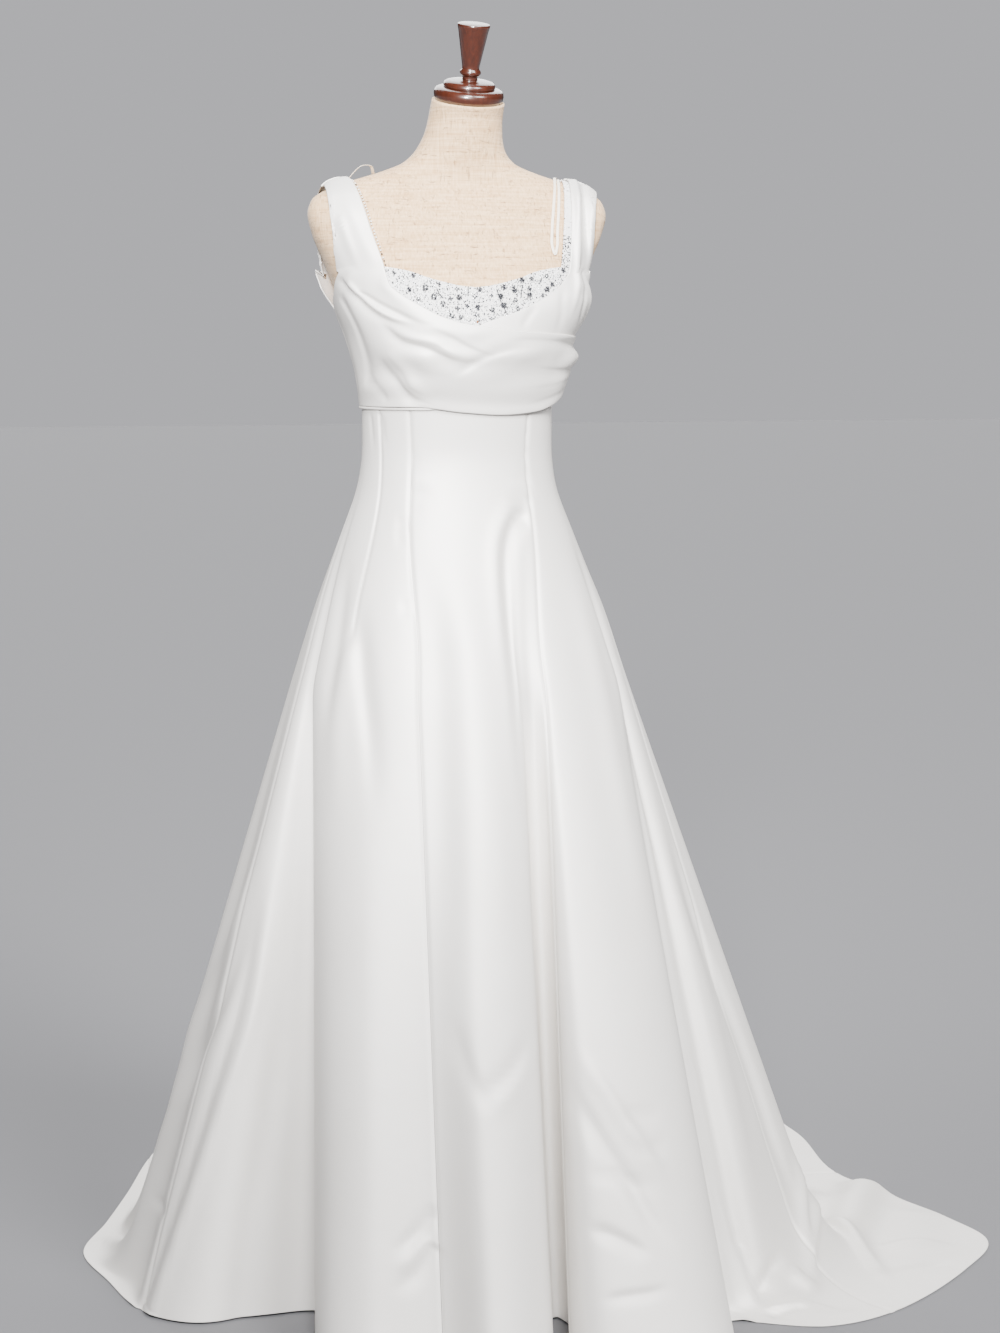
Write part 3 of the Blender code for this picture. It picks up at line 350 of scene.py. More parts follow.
skirt = {
    "cloth": 0.0013, "seamGap": 0.0003, "seamDip": 0.0015, "seamWidth": 0.0030, "seamRoll": 0.0011,
    "freeRoll": 0.0006, "topRoll": 0.0003, "columnStep": 0.0085, "rowStep": 0.0085,
    "lowerStart": 0.160, "lowerRows": 56, "easePasses": 6, "hipFold": 0.07, "floorTurn": 0.110,
    "hemClear": 0.0030, "solidCloth": 0.0016, "innerClear": 0.0002, "outerClear": 0.0008,
    "empireEase": (0.0005, 0.0070, 0.0020),
    # height, reach to the wearer's left and right, to the front and back
    "girth": [(1.090, 0.1240, 0.1240, 0.0895, 0.0830), (1.050, 0.1290, 0.1300, 0.0960, 0.0930),
              (1.000, 0.1480, 0.1480, 0.1090, 0.1110), (0.945, 0.1700, 0.1690, 0.1250, 0.1320),
              (0.890, 0.1930, 0.1890, 0.1430, 0.1580), (0.800, 0.2220, 0.2180, 0.1750, 0.2050),
              (0.000, 0.4900, 0.4800, 0.4100, 0.5400)],
    # fold line, its angle at the waist, hip and floor, its radius there, the hem's angle and radius
    "folds": [
        ("centre_flute_ridge", -12, -9, -6.4, 0.430, -6.4, 0.430),
        ("centre_flute_edge", 20, 11.7, 3.8, 0.400, 3.8, 0.400),
        ("recess_right_wall", 30, 17, 11.0, 0.290, 11.0, 0.290),
        ("recess_bottom", 37, 21, 17.6, 0.248, 17.6, 0.248),
        ("recess_left_wall", 42, 24, 16.6, 0.305, 16.6, 0.305),
        ("left_princess", 46, 26.3, 9.6, 0.370, 9.6, 0.370),
        ("left_flute_shoulder", 50, 30, 10.8, 0.424, 10.8, 0.424),
        ("left_flute_ridge", 57, 41, 20, 0.459, 20, 0.459),
        ("left_flute_edge", 69, 60, 33.3, 0.477, 33.3, 0.477),
        ("left_valley", 76, 67, 43.0, 0.405, 43.0, 0.412),
        ("left_side_rise", 82, 72, 54, 0.450, 50, 0.528),
        ("left_side", 90, 79, 66, 0.475, 58, 0.592),
        ("left_side_ridge", 98, 87, 78, 0.504, 73.5, 0.683),
        ("train_tip", 108, 98, 90, 0.462, 82.3, 0.733),
        ("train_left_hump", 118, 109, 103, 0.520, 93, 0.690),
        ("back_left", 130, 123, 118, 0.490, 109, 0.657),
        ("back_left_ridge", 143, 138, 133, 0.560, 124, 0.754),
        ("back_left_valley", 156, 154, 150, 0.520, 139, 0.820),
        ("back_ridge", 168, 168, 166, 0.590, 153, 0.850),
        ("centre_back", 180, 180, 181, 0.545, 167, 0.855),
        ("back_right_ridge", 192, 192, 196, 0.595, 180, 0.838),
        ("back_right_valley", 204, 206, 210, 0.520, 192, 0.800),
        ("back_right_flute", 216, 219, 223, 0.555, 204, 0.735),
        ("back_right", 230, 233, 236, 0.480, 216, 0.632),
        ("right_back_ridge", 242, 245, 247, 0.468, 229, 0.552),
        ("right_back_valley", 250, 253, 256, 0.442, 242, 0.517),
        ("right_back_side", 257, 261, 264, 0.457, 255, 0.513),
        ("right_notch", 262, 269, 272, 0.432, 268, 0.470),
        ("right_side", 266, 277, 281, 0.446, 281, 0.450),
        ("right_side_ridge", 268, 279, 287.3, 0.434, 287.3, 0.434),
        ("right_side_turn", 270, 280.6, 292.8, 0.400, 292.8, 0.400),
        ("right_side_wall", 272, 282, 297.5, 0.320, 297.5, 0.320),
        ("right_recess", 274, 283.5, 305.0, 0.264, 305.0, 0.264),
        ("right_recess_wall", 276, 285, 316.0, 0.315, 316.0, 0.315),
        ("right_flute_edge", 278, 287, 320.8, 0.385, 320.8, 0.385),
        ("right_flute_shoulder", 287, 296, 325.7, 0.413, 325.7, 0.413),
        ("right_flute_ridge", 298, 309, 333.1, 0.417, 333.1, 0.417),
        ("right_princess", 314, 332, 345.2, 0.388, 345.2, 0.388),
    ],
    # panels, each from one seam's fold line to the next, by their numbers in the list above
    "gores": {
        "gore_centre_front": (-1, 5), "gore_side_front_right": (28, 37),
        "gore_side_front_left": (5, 11), "gore_side_back_left": (11, 15),
        "gore_back_left": (15, 19), "gore_back_right": (19, 23), "gore_side_back_right": (23, 28),
    },
    # humps of the train: a line on the floor plan as (angle, radius) twice, its width and height
    "humps": [(101, 0.640, 78, 0.520, 0.030, 0.030), (90, 0.660, 74, 0.600, 0.035, 0.010),
              (130, 0.760, 128, 0.580, 0.045, 0.022), (166, 0.830, 172, 0.620, 0.050, 0.020),
              (200, 0.740, 206, 0.600, 0.045, 0.022)],
}

# Soft creases. Each row gives how far a ridge stands out, or a trough in when it is
# below 0, its half width (one for each side where they differ), the shares over which its two ends
# fade, and its points as (fold number, height).
skirtCreases = [
    # the dimple by the left princess seam, and the fold that falls from it
    (-0.0075, (0.012, 0.008), (0.12, 0.6), [(4.7, 1.017), (3.2, 1.015), (2.1, 1.006), (1.35, 0.994),
        (1.1, 0.975), (1.08, 0.93), (1.1, 0.86), (1.08, 0.75), (1.15, 0.6)]),
    (0.0032, 0.01, (0.3, 0.6), [(2.9, 1.026), (1.5, 1.018), (0.85, 1.0), (0.75, 0.96), (0.75, 0.88),
        (0.75, 0.78)]),
    # pulls across the waist beside the princess seams
    (0.0016, (0.003, 0.005), (0.5, 0.05), [(0.9, 1.046), (2.6, 1.047), (4.8, 1.046)]),
    (-0.0014, (0.003, 0.006), (0.5, 0.05), [(0.9, 1.04), (2.6, 1.041), (4.8, 1.04)]),
    (-0.0011, 0.003, (0.6, 0.02), [(3.2, 1.088), (4.9, 1.087)]),
    (-0.0012, 0.0035, (0.6, 0.02), [(2.8, 1.07), (4.9, 1.068)]),
    (-0.0008, 0.003, (0.6, 0.02), [(3.6, 1.104), (4.9, 1.103)]),
    (0.0015, (0.003, 0.006), (0.02, 0.7), [(-0.98, 1.056), (-0.32, 1.057)]),
    (-0.0014, (0.003, 0.006), (0.02, 0.7), [(-0.98, 1.048), (-0.43, 1.049)]),
    (-0.001, 0.0028, (0.02, 0.7), [(-0.98, 1.077), (-0.7, 1.078)]),
    (-0.0008, 0.0026, (0.02, 0.7), [(-0.98, 1.089), (-0.76, 1.09)]),
    (-0.0011, 0.0035, (0.02, 0.7), [(-0.98, 1.024), (-0.6, 1.024)]),
    (-0.002, 0.0045, (0.6, 0.02), [(36.5, 1.008), (36.96, 1.002)]),
    (-0.0018, 0.0045, (0.6, 0.02), [(36.5, 0.992), (36.96, 0.983)]),
    (-0.0022, 0.005, (0.6, 0.02), [(36.6, 0.9), (36.96, 0.906)]),
    # the dart of the right side panel, and the soft folds below its point
    (-0.0018, (0.003, 0.0018), (0.0, 0.05), [(35.4, 1.149), (35.44, 1.11), (35.55, 1.07),
        (35.7, 1.03), (35.72, 0.99), (35.62, 0.95), (35.5, 0.905), (35.45, 0.866)]),
    (-0.0055, (0.014, 0.012), (0.3, 0.6), [(35.52, 0.915), (35.8, 0.86), (36.05, 0.81),
        (36.18, 0.75), (36.24, 0.64)]),
    (0.0026, 0.016, (0.1, 0.6), [(35.45, 0.866), (35.4, 0.82), (35.3, 0.75), (35.28, 0.62)]),
    (-0.0012, 0.004, (0.0, 0.6), [(35.45, 0.866), (35.2, 0.85), (34.8, 0.838)]),
    (-0.004, 0.012, (0.35, 0.35), [(34.63, 0.965), (34.75, 0.9), (34.98, 0.825), (34.95, 0.74)]),
    # small puckers under the empire seam, and beside the left princess seam
    (-0.0016, (0.0025, 0.004), (0.1, 0.7), [(35.52, 1.142), (35.75, 1.132), (36.05, 1.126)]),
    (-0.0014, (0.0025, 0.005), (0.1, 0.7), [(35.55, 1.128), (35.85, 1.112), (36.1, 1.104)]),
    (-0.0013, 0.004, (0.1, 0.7), [(34.6, 1.144), (34.75, 1.118), (35.0, 1.092)]),
    (-0.0012, 0.0026, (0.02, 0.7), [(5.04, 1.135), (5.4, 1.128)]),
    (-0.0014, 0.003, (0.02, 0.7), [(5.04, 1.118), (5.55, 1.108)]),
    (-0.0016, 0.0034, (0.02, 0.7), [(5.04, 1.096), (5.6, 1.08)]),
    (-0.0018, 0.004, (0.02, 0.7), [(5.04, 1.066), (5.8, 1.05), (6.4, 1.046)]),
    (-0.0014, 0.0034, (0.02, 0.7), [(5.04, 1.032), (5.5, 1.022)]),
    # the centre panel's shallow valley and the swell beside it
    (-0.0052, 0.028, (0.25, 0.5), [(-0.66, 0.985), (-0.63, 0.94), (-0.62, 0.867), (-0.6, 0.75),
        (-0.57, 0.647), (-0.52, 0.52), (-0.5, 0.4)]),
    (0.0045, 0.03, (0.25, 0.5), [(-0.37, 0.985), (-0.15, 0.93), (0.12, 0.867), (0.25, 0.75),
        (0.35, 0.647), (0.41, 0.52), (0.4, 0.36)]),
    # the left side front panel: a soft turn, then the sharp edge of its flute and the valley beyond
    (0.0035, 0.02, (0.3, 0.5), [(7.75, 0.985), (7.63, 0.93), (7.63, 0.888), (7.58, 0.825),
        (7.59, 0.741), (7.7, 0.6), (7.8, 0.42)]),
    (-0.0085, (0.014, 0.006), (0.2, 0.0), [(8.75, 0.98), (8.9, 0.94), (9.05, 0.88), (9.25, 0.82),
        (9.55, 0.73), (9.7, 0.625), (9.68, 0.53), (9.64, 0.425), (9.64, 0.341), (9.62, 0.236),
        (9.6, 0.137), (9.6, 0.0)]),
    (0.003, (0.006, 0.016), (0.2, 0.0), [(8.1, 0.93), (8.3, 0.88), (8.6, 0.82), (9.05, 0.73),
        (9.28, 0.625), (9.3, 0.53), (9.28, 0.425), (9.3, 0.341), (9.27, 0.236), (9.28, 0.137),
        (9.28, 0.0)]),
    (-0.006, (0.01, 0.02), (0.35, 0.2), [(10.6, 0.62), (10.63, 0.53), (10.85, 0.456), (11.0, 0.393),
        (11.17, 0.309), (11.22, 0.235), (11.21, 0.172), (11.25, 0.1)]),
    (0.003, 0.018, (0.4, 0.3), [(9.9, 0.64), (10.1, 0.55), (10.25, 0.45), (10.29, 0.372),
        (10.21, 0.267), (10.13, 0.173), (10.05, 0.1)]),
    # faint slanting folds low on the left side front panel
    (-0.0042, (0.005, 0.014), (0.35, 0.35), [(5.45, 0.343), (6.14, 0.3), (6.52, 0.258), (6.9, 0.216),
        (7.17, 0.165), (7.42, 0.121)]),
    (0.0034, (0.006, 0.014), (0.35, 0.35), [(5.88, 0.385), (6.3, 0.353), (6.71, 0.311), (7.1, 0.262),
        (7.45, 0.2)]),
    (-0.0024, (0.004, 0.008), (0.35, 0.35), [(5.95, 0.231), (6.48, 0.227), (6.9, 0.216),
        (7.39, 0.206)]),
    (-0.0016, (0.004, 0.007), (0.35, 0.35), [(6.75, 0.292), (7.25, 0.29), (7.52, 0.29)]),
    (-0.0018, (0.006, 0.004), (0.35, 0.35), [(6.8, 0.262), (7.25, 0.248), (7.53, 0.259)]),
    (-0.0022, (0.005, 0.009), (0.35, 0.35), [(6.21, 0.082), (6.57, 0.088), (7.02, 0.09),
        (7.28, 0.094)]),
    (-0.0032, (0.005, 0.012), (0.35, 0.35), [(5.91, 0.166), (6.46, 0.158), (6.78, 0.146),
        (7.05, 0.126)]),
    # faint folds low on the centre panel
    (-0.0026, 0.012, (0.35, 0.35), [(-0.15, 0.318), (0.11, 0.332), (0.38, 0.342), (0.71, 0.364),
        (1.1, 0.395)]),
    (-0.0022, (0.008, 0.014), (0.35, 0.35), [(-0.55, 0.42), (-0.24, 0.353), (0.1, 0.318),
        (0.33, 0.29)]),
    (0.0019, (0.012, 0.007), (0.35, 0.35), [(1.16, 0.395), (0.73, 0.353), (0.31, 0.321),
        (-0.09, 0.29)]),
    # low on the right side front panel
    (-0.0034, (0.005, 0.01), (0.4, 0.1), [(36.36, 0.139), (36.55, 0.152), (36.75, 0.168),
        (36.95, 0.19)]),
    (-0.003, (0.006, 0.012), (0.4, 0.1), [(36.36, 0.092), (36.6, 0.112), (36.95, 0.15)]),
    (0.0024, 0.008, (0.35, 0.35), [(36.4, 0.116), (36.6, 0.132), (36.86, 0.16)]),
    # the right flute's edge, the side seam's line and the turned fold down the right side
    (0.0045, (0.01, 0.005), (0.35, 0.0), [(30.0, 0.56), (30.02, 0.479), (30.08, 0.426),
        (30.0, 0.374), (29.6, 0.301), (29.29, 0.217), (29.04, 0.149), (28.8, 0.081), (28.55, 0.0)]),
    (-0.0055, (0.005, 0.012), (0.35, 0.0), [(29.4, 0.56), (29.45, 0.479), (29.5, 0.426),
        (29.38, 0.374), (29.05, 0.3), (28.8, 0.217), (28.58, 0.146), (28.32, 0.074), (28.1, 0.0)]),
    (-0.005, 0.016, (0.35, 0.35), [(28.92, 0.6), (28.9, 0.553), (28.7, 0.458), (28.29, 0.395),
        (27.58, 0.332), (26.75, 0.259), (25.3, 0.18)]),
    (0.0035, 0.018, (0.35, 0.35), [(27.9, 0.6), (27.6, 0.5), (26.9, 0.42), (26.2, 0.34),
        (25.2, 0.26)]),
    (-0.004, 0.016, (0.35, 0.0), [(30.82, 0.44), (30.82, 0.322), (30.72, 0.227), (30.6, 0.139),
        (30.6, 0.0)]),
    # the train at the wearer's left: ridges that fan out over the floor, a pillow and its pocket
    (0.0078, (0.007, 0.014), (0.35, 0.35), [(11.8, 0.161), (11.64, 0.139), (11.27, 0.113),
        (10.9, 0.085)]),
    (0.0085, (0.006, 0.013), (0.35, 0.35), [(12.4, 0.13), (11.9, 0.118), (11.34, 0.1), (10.9, 0.078),
        (10.61, 0.05)]),
    (0.008, (0.014, 0.007), (0.35, 0.35), [(13.3, 0.096), (12.63, 0.08), (11.95, 0.07),
        (11.59, 0.046), (11.4, 0.02)]),
    (0.0085, (0.009, 0.014), (0.35, 0.35), [(10.42, 0.086), (10.5, 0.07), (10.62, 0.052)]),
    (-0.0085, (0.006, 0.012), (0.35, 0.35), [(9.61, 0.043), (9.93, 0.078), (10.43, 0.1)]),
    (0.0066, (0.01, 0.006), (0.1, 0.4), [(9.61, 0.034), (10.12, 0.044), (10.42, 0.02),
        (10.7, 0.014)]),
    (0.0056, (0.007, 0.014), (0.35, 0.35), [(12.1, 0.062), (12.5, 0.04), (12.75, 0.014)]),
    (-0.0034, (0.006, 0.012), (0.35, 0.35), [(11.3, 0.052), (11.63, 0.037), (11.89, 0.022),
        (12.19, 0.008)]),
    # the train's right side: a ridge near the hem and short wrinkles above it
    (0.005, (0.01, 0.014), (0.35, 0.35), [(25.74, 0.004), (25.3, 0.024), (25.45, 0.066),
        (25.87, 0.111)]),
    (-0.0035, 0.008, (0.35, 0.35), [(26.38, 0.126), (27.1, 0.121), (27.86, 0.123), (27.77, 0.146)]),
    (0.005, 0.016, (0.35, 0.35), [(24.6, 0.13), (24.4, 0.085), (24.1, 0.04)]),
    # behind, where the cloth turns on to the floor
    (-0.005, 0.018, (0.35, 0.35), [(14.6, 0.52), (14.72, 0.38), (14.66, 0.25), (14.9, 0.15)]),
    (0.0045, 0.02, (0.35, 0.35), [(15.8, 0.4), (15.95, 0.28), (16.1, 0.17), (16.45, 0.09)]),
    (-0.0055, 0.018, (0.35, 0.35), [(17.3, 0.62), (17.2, 0.45), (17.35, 0.3), (17.25, 0.19)]),
    (0.006, (0.012, 0.018), (0.35, 0.35), [(17.6, 0.13), (17.1, 0.09), (16.9, 0.04)]),
    (0.005, 0.015, (0.35, 0.35), [(18.4, 0.115), (18.6, 0.075), (18.45, 0.03)]),
    (-0.006, 0.02, (0.35, 0.35), [(20.5, 0.58), (20.62, 0.42), (20.5, 0.29), (20.75, 0.18)]),
    (0.006, (0.016, 0.011), (0.35, 0.35), [(20.2, 0.12), (20.55, 0.08), (20.7, 0.03)]),
    (0.0045, 0.016, (0.35, 0.35), [(21.7, 0.36), (21.6, 0.24), (21.85, 0.15), (21.7, 0.08)]),
    (-0.0048, 0.017, (0.35, 0.35), [(22.6, 0.5), (22.5, 0.36), (22.7, 0.24), (22.55, 0.15)]),
    (0.0035, 0.015, (0.35, 0.35), [(13.3, 0.5), (13.42, 0.36), (13.3, 0.24)]),
    (-0.0042, 0.016, (0.35, 0.35), [(24.4, 0.55), (24.52, 0.4), (24.38, 0.27), (24.6, 0.18)]),
]


def foldColumns(first, last):
    table = np.array([row[1:] for row in skirt["folds"]], float)
    before, after = table.copy(), table.copy()
    before[:, [0, 1, 2, 4]] -= 360
    after[:, [0, 1, 2, 4]] += 360
    ring = np.concatenate([before, table, after])
    places = polar(ring[:, 4], ring[:, 5])
    gaps = np.linalg.norm(np.diff(places, axis=0), axis=1)
    knots = np.concatenate([[0.0], np.cumsum(np.sqrt(gaps))])
    count = len(table)
    turns = np.interp(np.linspace(first, last, 14 * (last - first) + 1),
                      np.arange(-count, 2 * count), knots)
    flat = np.concatenate([ring[:, :2], polar(ring[:, 2], ring[:, 3]), places], axis=1)
    return roundCurve(knots, flat, turns), np.interp(turns, knots, np.arange(-count, 2 * count))


def ovalRadius(angle, left, right, front, behind):
    turn = np.radians(angle)
    side = np.where(np.sin(turn) > 0, left, right)
    depth = np.where(np.cos(turn) > 0, front, behind)
    return 1 / np.sqrt((np.sin(turn) / side) ** 2 + (np.cos(turn) / depth) ** 2)


def smoothRadius(angle, z):
    table = np.array(skirt["girth"], float)[::-1]
    return ovalRadius(angle, *steadyCurve(table[:, 0], table[:, 1:], np.array([z]))[0])


def midriffRadius(angle, z):
    lift = (z - body["waist"]) / (body["empire"] - body["waist"])
    side, front, behind = (ease * lift for ease in skirt["empireEase"])
    _, left, right, ahead, rear = skirt["girth"][0]
    return ovalRadius(angle, left + side, right + side, ahead + front, rear + behind)


def humpHeight(plan):
    total = np.zeros(len(plan))
    for angleA, radiusA, angleB, radiusB, width, height in skirt["humps"]:
        a, b = polar(angleA, radiusA), polar(angleB, radiusB)
        t = np.clip((plan - a) @ (b - a) / ((b - a) @ (b - a)), 0, 1)
        away = np.linalg.norm(plan - a - t[:, None] * (b - a), axis=1)
        total += height * np.exp(-((away / width) ** 2)) * np.sin(math.pi * (0.25 + 0.5 * t))
    return total


def shareOf(length, whole):
    return np.clip(length / np.maximum(whole, 1e-9), 0, 1)[:, None]


def lowerPath(start, fall, hem, shares):
    # from start down to the floor at fall, round a soft bend, and out to the hem
    cloth, clear = skirt["solidCloth"], skirt["hemClear"]
    corner = np.concatenate([fall, np.full((len(fall), 1), cloth)], axis=1)
    end = np.concatenate([hem, np.full((len(hem), 1), cloth)], axis=1)
    trail = np.linalg.norm(end - corner, axis=1)
    lying = smoothStep(trail / 0.03)
    corner[:, 2] += (clear - cloth) * (1 - lying)
    end[:, 2] += (clear - cloth) * (1 - lying)
    drop = np.linalg.norm(corner - start, axis=1)
    bend = np.minimum(skirt["floorTurn"], 0.75 * trail)
    turn = bend[:, None]
    into, outOf = unit(corner - start), unit(end - corner)
    before, after = corner - into * turn, corner + outOf * turn
    rows = []
    for share in shares:
        gone = share * (drop + trail)
        onFall = shareOf(gone, drop - bend)
        onBend = shareOf(gone - drop + bend, 2 * bend)
        onFloor = shareOf(gone - drop - bend, trail - bend)
        row = (1 - onBend) ** 2 * before + 2 * onBend * (1 - onBend) * corner + onBend ** 2 * after
        row = np.where(gone[:, None] < drop[:, None] - turn, start + (before - start) * onFall, row)
        row = np.where(gone[:, None] > drop[:, None] + turn, after + (end - after) * onFloor, row)
        row[:, 2] += humpHeight(row[:, :2]) * smoothStep((gone - drop) / 0.05) * lying
        rows.append(row)
    return rows


def skirtPanel(first, last):
    # the panel's outer face, and the fold number and height of each of its points
    columns, number = foldColumns(first, last)
    waist, hip, fall, hem = columns[:, 0], columns[:, 1], columns[:, 2:4], columns[:, 4:6]
    fallAngle = np.degrees(np.arctan2(fall[:, 0], -fall[:, 1]))
    foldDepth = np.linalg.norm(fall, axis=1) - smoothRadius(fallAngle, 0.0)
    hipPlan = polar(hip, smoothRadius(hip, body["hip"]) + skirt["hipFold"] * foldDepth)
    top = body["empire"]
    heights = [top - e for e in edgeOffsets]
    heights += list(np.linspace(top - 0.0100, skirt["lowerStart"],
                                round((top - skirt["lowerStart"]) / skirt["rowStep"])))
    rows = []
    for z in heights:
        if z >= body["waist"]:
            plan = polar(waist, midriffRadius(waist, z))
        elif z >= body["hip"]:
            ease = (body["waist"] - z) / (body["waist"] - body["hip"])
            angle = waist + (hip - waist) * smoothStep(ease)
            plan = polar(angle, smoothRadius(angle, z) + skirt["hipFold"] * ease ** 2 * foldDepth)
        else:
            plan = hipPlan + (fall - hipPlan) * (body["hip"] - z) / body["hip"]
        rows.append(np.concatenate([plan, np.full((len(plan), 1), z)], axis=1))
    shares = np.arange(1, skirt["lowerRows"] + 1) / skirt["lowerRows"]
    rows += lowerPath(rows[-1], fall, hem, shares)
    levels = np.array(heights + [skirt["lowerStart"] * (1 - s) for s in shares])
    grid = np.array(rows)
    extra = np.stack([np.broadcast_to(number, grid.shape[:2]),
                      np.broadcast_to(levels[:, None], grid.shape[:2])], axis=-1)
    return grid, extra


def evenOut(grid, passes, fromRow):
    # eases the panel down its length, where one part of its shape runs into the next
    for _ in range(passes):
        eased = grid.copy()
        eased[fromRow:-1] = (grid[fromRow - 1:-2] + 2 * grid[fromRow:-1] + grid[fromRow + 1:]) / 4
        grid = eased
    return grid


# How a crease is laid: what one fold number counts for in metres, along its line and between its
# neighbours, how far off those may be and how fast they fade, the least number of them, the points
# along the line and the passes that smooth it.
creaseFit = {"alongFold": 0.05, "acrossFold": 0.08, "reach": 0.022, "spread": 0.008,
             "neighbours": 12, "points": 40, "passes": 8}


def creaseLine(points, allNumbers, allLevels, allPoints):
    # the crease's points on the cloth, close together
    path = np.array(points, float)
    count, enough = creaseFit["points"], creaseFit["neighbours"]
    if len(path) > 2:
        steps = alongLengths(path * np.array([creaseFit["alongFold"], 1.0]))
        path = roundCurve(steps, path, np.linspace(0, steps[-1], count))
    else:
        path = np.linspace(*path, count)
    places = []
    for number, level in path:
        # where the cloth has this fold number and height, from a flat fit to its neighbours
        off = np.stack([(allNumbers - number) * creaseFit["acrossFold"], allLevels - level], axis=1)
        square = (off ** 2).sum(1)
        near = square < max(creaseFit["reach"] ** 2, np.partition(square, enough)[enough])
        weight = np.exp(-square[near] / (2 * creaseFit["spread"] ** 2)) + 1e-6
        fit = np.concatenate([np.ones((near.sum(), 1)), off[near]], axis=1) * weight[:, None]
        places.append(np.linalg.lstsq(fit, allPoints[near] * weight[:, None], rcond=None)[0][0])
    places = np.array(places)
    for _ in range(creaseFit["passes"]):
        places[1:-1] = (places[:-2] + 2 * places[1:-1] + places[2:]) / 4
    return places


def creaseHeight(points, normals, line, crease):
    # a soft ridge or trough along the line, which may be steeper on one side
    height, widths, (start, end), _ = crease
    away = np.full(len(points), 1e9)
    nearest = np.zeros(len(points), int)
    for k, place in enumerate(line):
        d = ((points - place) ** 2).sum(1)
        closer = d < away
        away[closer], nearest[closer] = d[closer], k
    tangent = unit(np.gradient(line, axis=0))[nearest]
    off = points - line[nearest]
    side = np.einsum("ij,ij->i", np.cross(tangent, normals), off)
    ahead = np.einsum("ij,ij->i", off, tangent)
    atEnd = (nearest == 0) | (nearest == len(line) - 1)
    square = (off ** 2).sum(1) - np.where(atEnd, 0.0, ahead ** 2)
    widths = widths if isinstance(widths, tuple) else (widths, widths)
    width = np.where(side > 0, widths[1], widths[0])
    step = np.linalg.norm(np.diff(line, axis=0), axis=1).mean()
    share = np.clip((nearest + ahead / step) / (len(line) - 1), 0, 1)
    fade = smoothStep(share / max(start, 1e-3) + (0.02 if start else 1))
    fade = fade * smoothStep((1 - share) / max(end, 1e-3) + (0.02 if end else 1))
    return height * np.exp(-square / width ** 2) * fade


panels = {}
for goreName, (first, last) in skirt["gores"].items():
    grid, extra = skirtPanel(first, last)
    grid = evenOut(grid, skirt["easePasses"], len(edgeOffsets) + 1)
    hemLength = alongLengths(grid[-1])[-1]
    grid, extra = resampleRows(grid, extra, math.ceil(hemLength / skirt["columnStep"]))
    grid, extra = resampleHem(grid, extra)
    panels[goreName] = (grid, extra)
print("skirt panels laid out")


def woven(grid, thick, roll={}, seamEdges=(), creases=(), lines=()):
    # cloth on a grid: seams dip, free edges roll, creases stand in or out
    normals = outwardNormals(grid)
    first, last, top, bottom = edgeDistances(grid)
    dip = np.zeros(grid.shape[:2])
    for edge, distance in (("first", first), ("last", last), ("top", top), ("bottom", bottom)):
        sewn = edge in seamEdges
        if sewn:
            dip = np.maximum(dip, skirt["seamDip"] * np.exp(-((distance / skirt["seamWidth"]) ** 2)))
        usual = skirt["seamRoll"] if sewn else skirt["freeRoll"]
        dip = np.maximum(dip, roundedDip(distance, roll.get(edge, usual)))
    rise = -dip
    flat, flatNormals = grid.reshape(-1, 3), normals.reshape(-1, 3)
    for crease, line in zip(creases, lines):
        away = np.abs(flat - line.mean(0)).max(1) < np.abs(line - line.mean(0)).max() + 0.12
        if away.any():
            add = creaseHeight(flat[away], flatNormals[away], line, crease)
            rise.reshape(-1)[away] += add
    outer = grid + normals * rise[..., None]
    normals = outwardNormals(outer)
    inner = outer - normals * thick
    fromFirst, _, fromTop, _ = edgeDistances(outer)
    uv = np.stack([fromFirst - fromFirst[:, -1:] / 2, -fromTop], axis=-1)
    return outer, inner, uv


allPoints = np.concatenate([g.reshape(-1, 3) for g, _ in panels.values()])
allNumbers = np.concatenate([e[..., 0].ravel() for _, e in panels.values()])
allLevels = np.concatenate([e[..., 1].ravel() for _, e in panels.values()])
creaseLines = [creaseLine(points, allNumbers, allLevels, allPoints)
               for _, _, _, points in skirtCreases]

skirtPieces = {}
for goreName, (grid, extra) in panels.items():
    grid = grid.copy()
    along = unit(np.gradient(grid, axis=1))
    grid[:, 0] += along[:, 0] * skirt["seamGap"] / 2
    grid[:, -1] -= along[:, -1] * skirt["seamGap"] / 2
    outer, inner, uv = woven(grid, skirt["cloth"], {"top": skirt["topRoll"]}, ("first", "last"),
                             skirtCreases, creaseLines)
    inner[:, :, 2] = np.maximum(inner[:, :, 2], skirt["innerClear"])
    outer[:, :, 2] = np.maximum(outer[:, :, 2], skirt["outerClear"])
    skirtPieces[goreName] = clothObject(goreName + "_satin", outer, inner, uv)
print("skirt made")


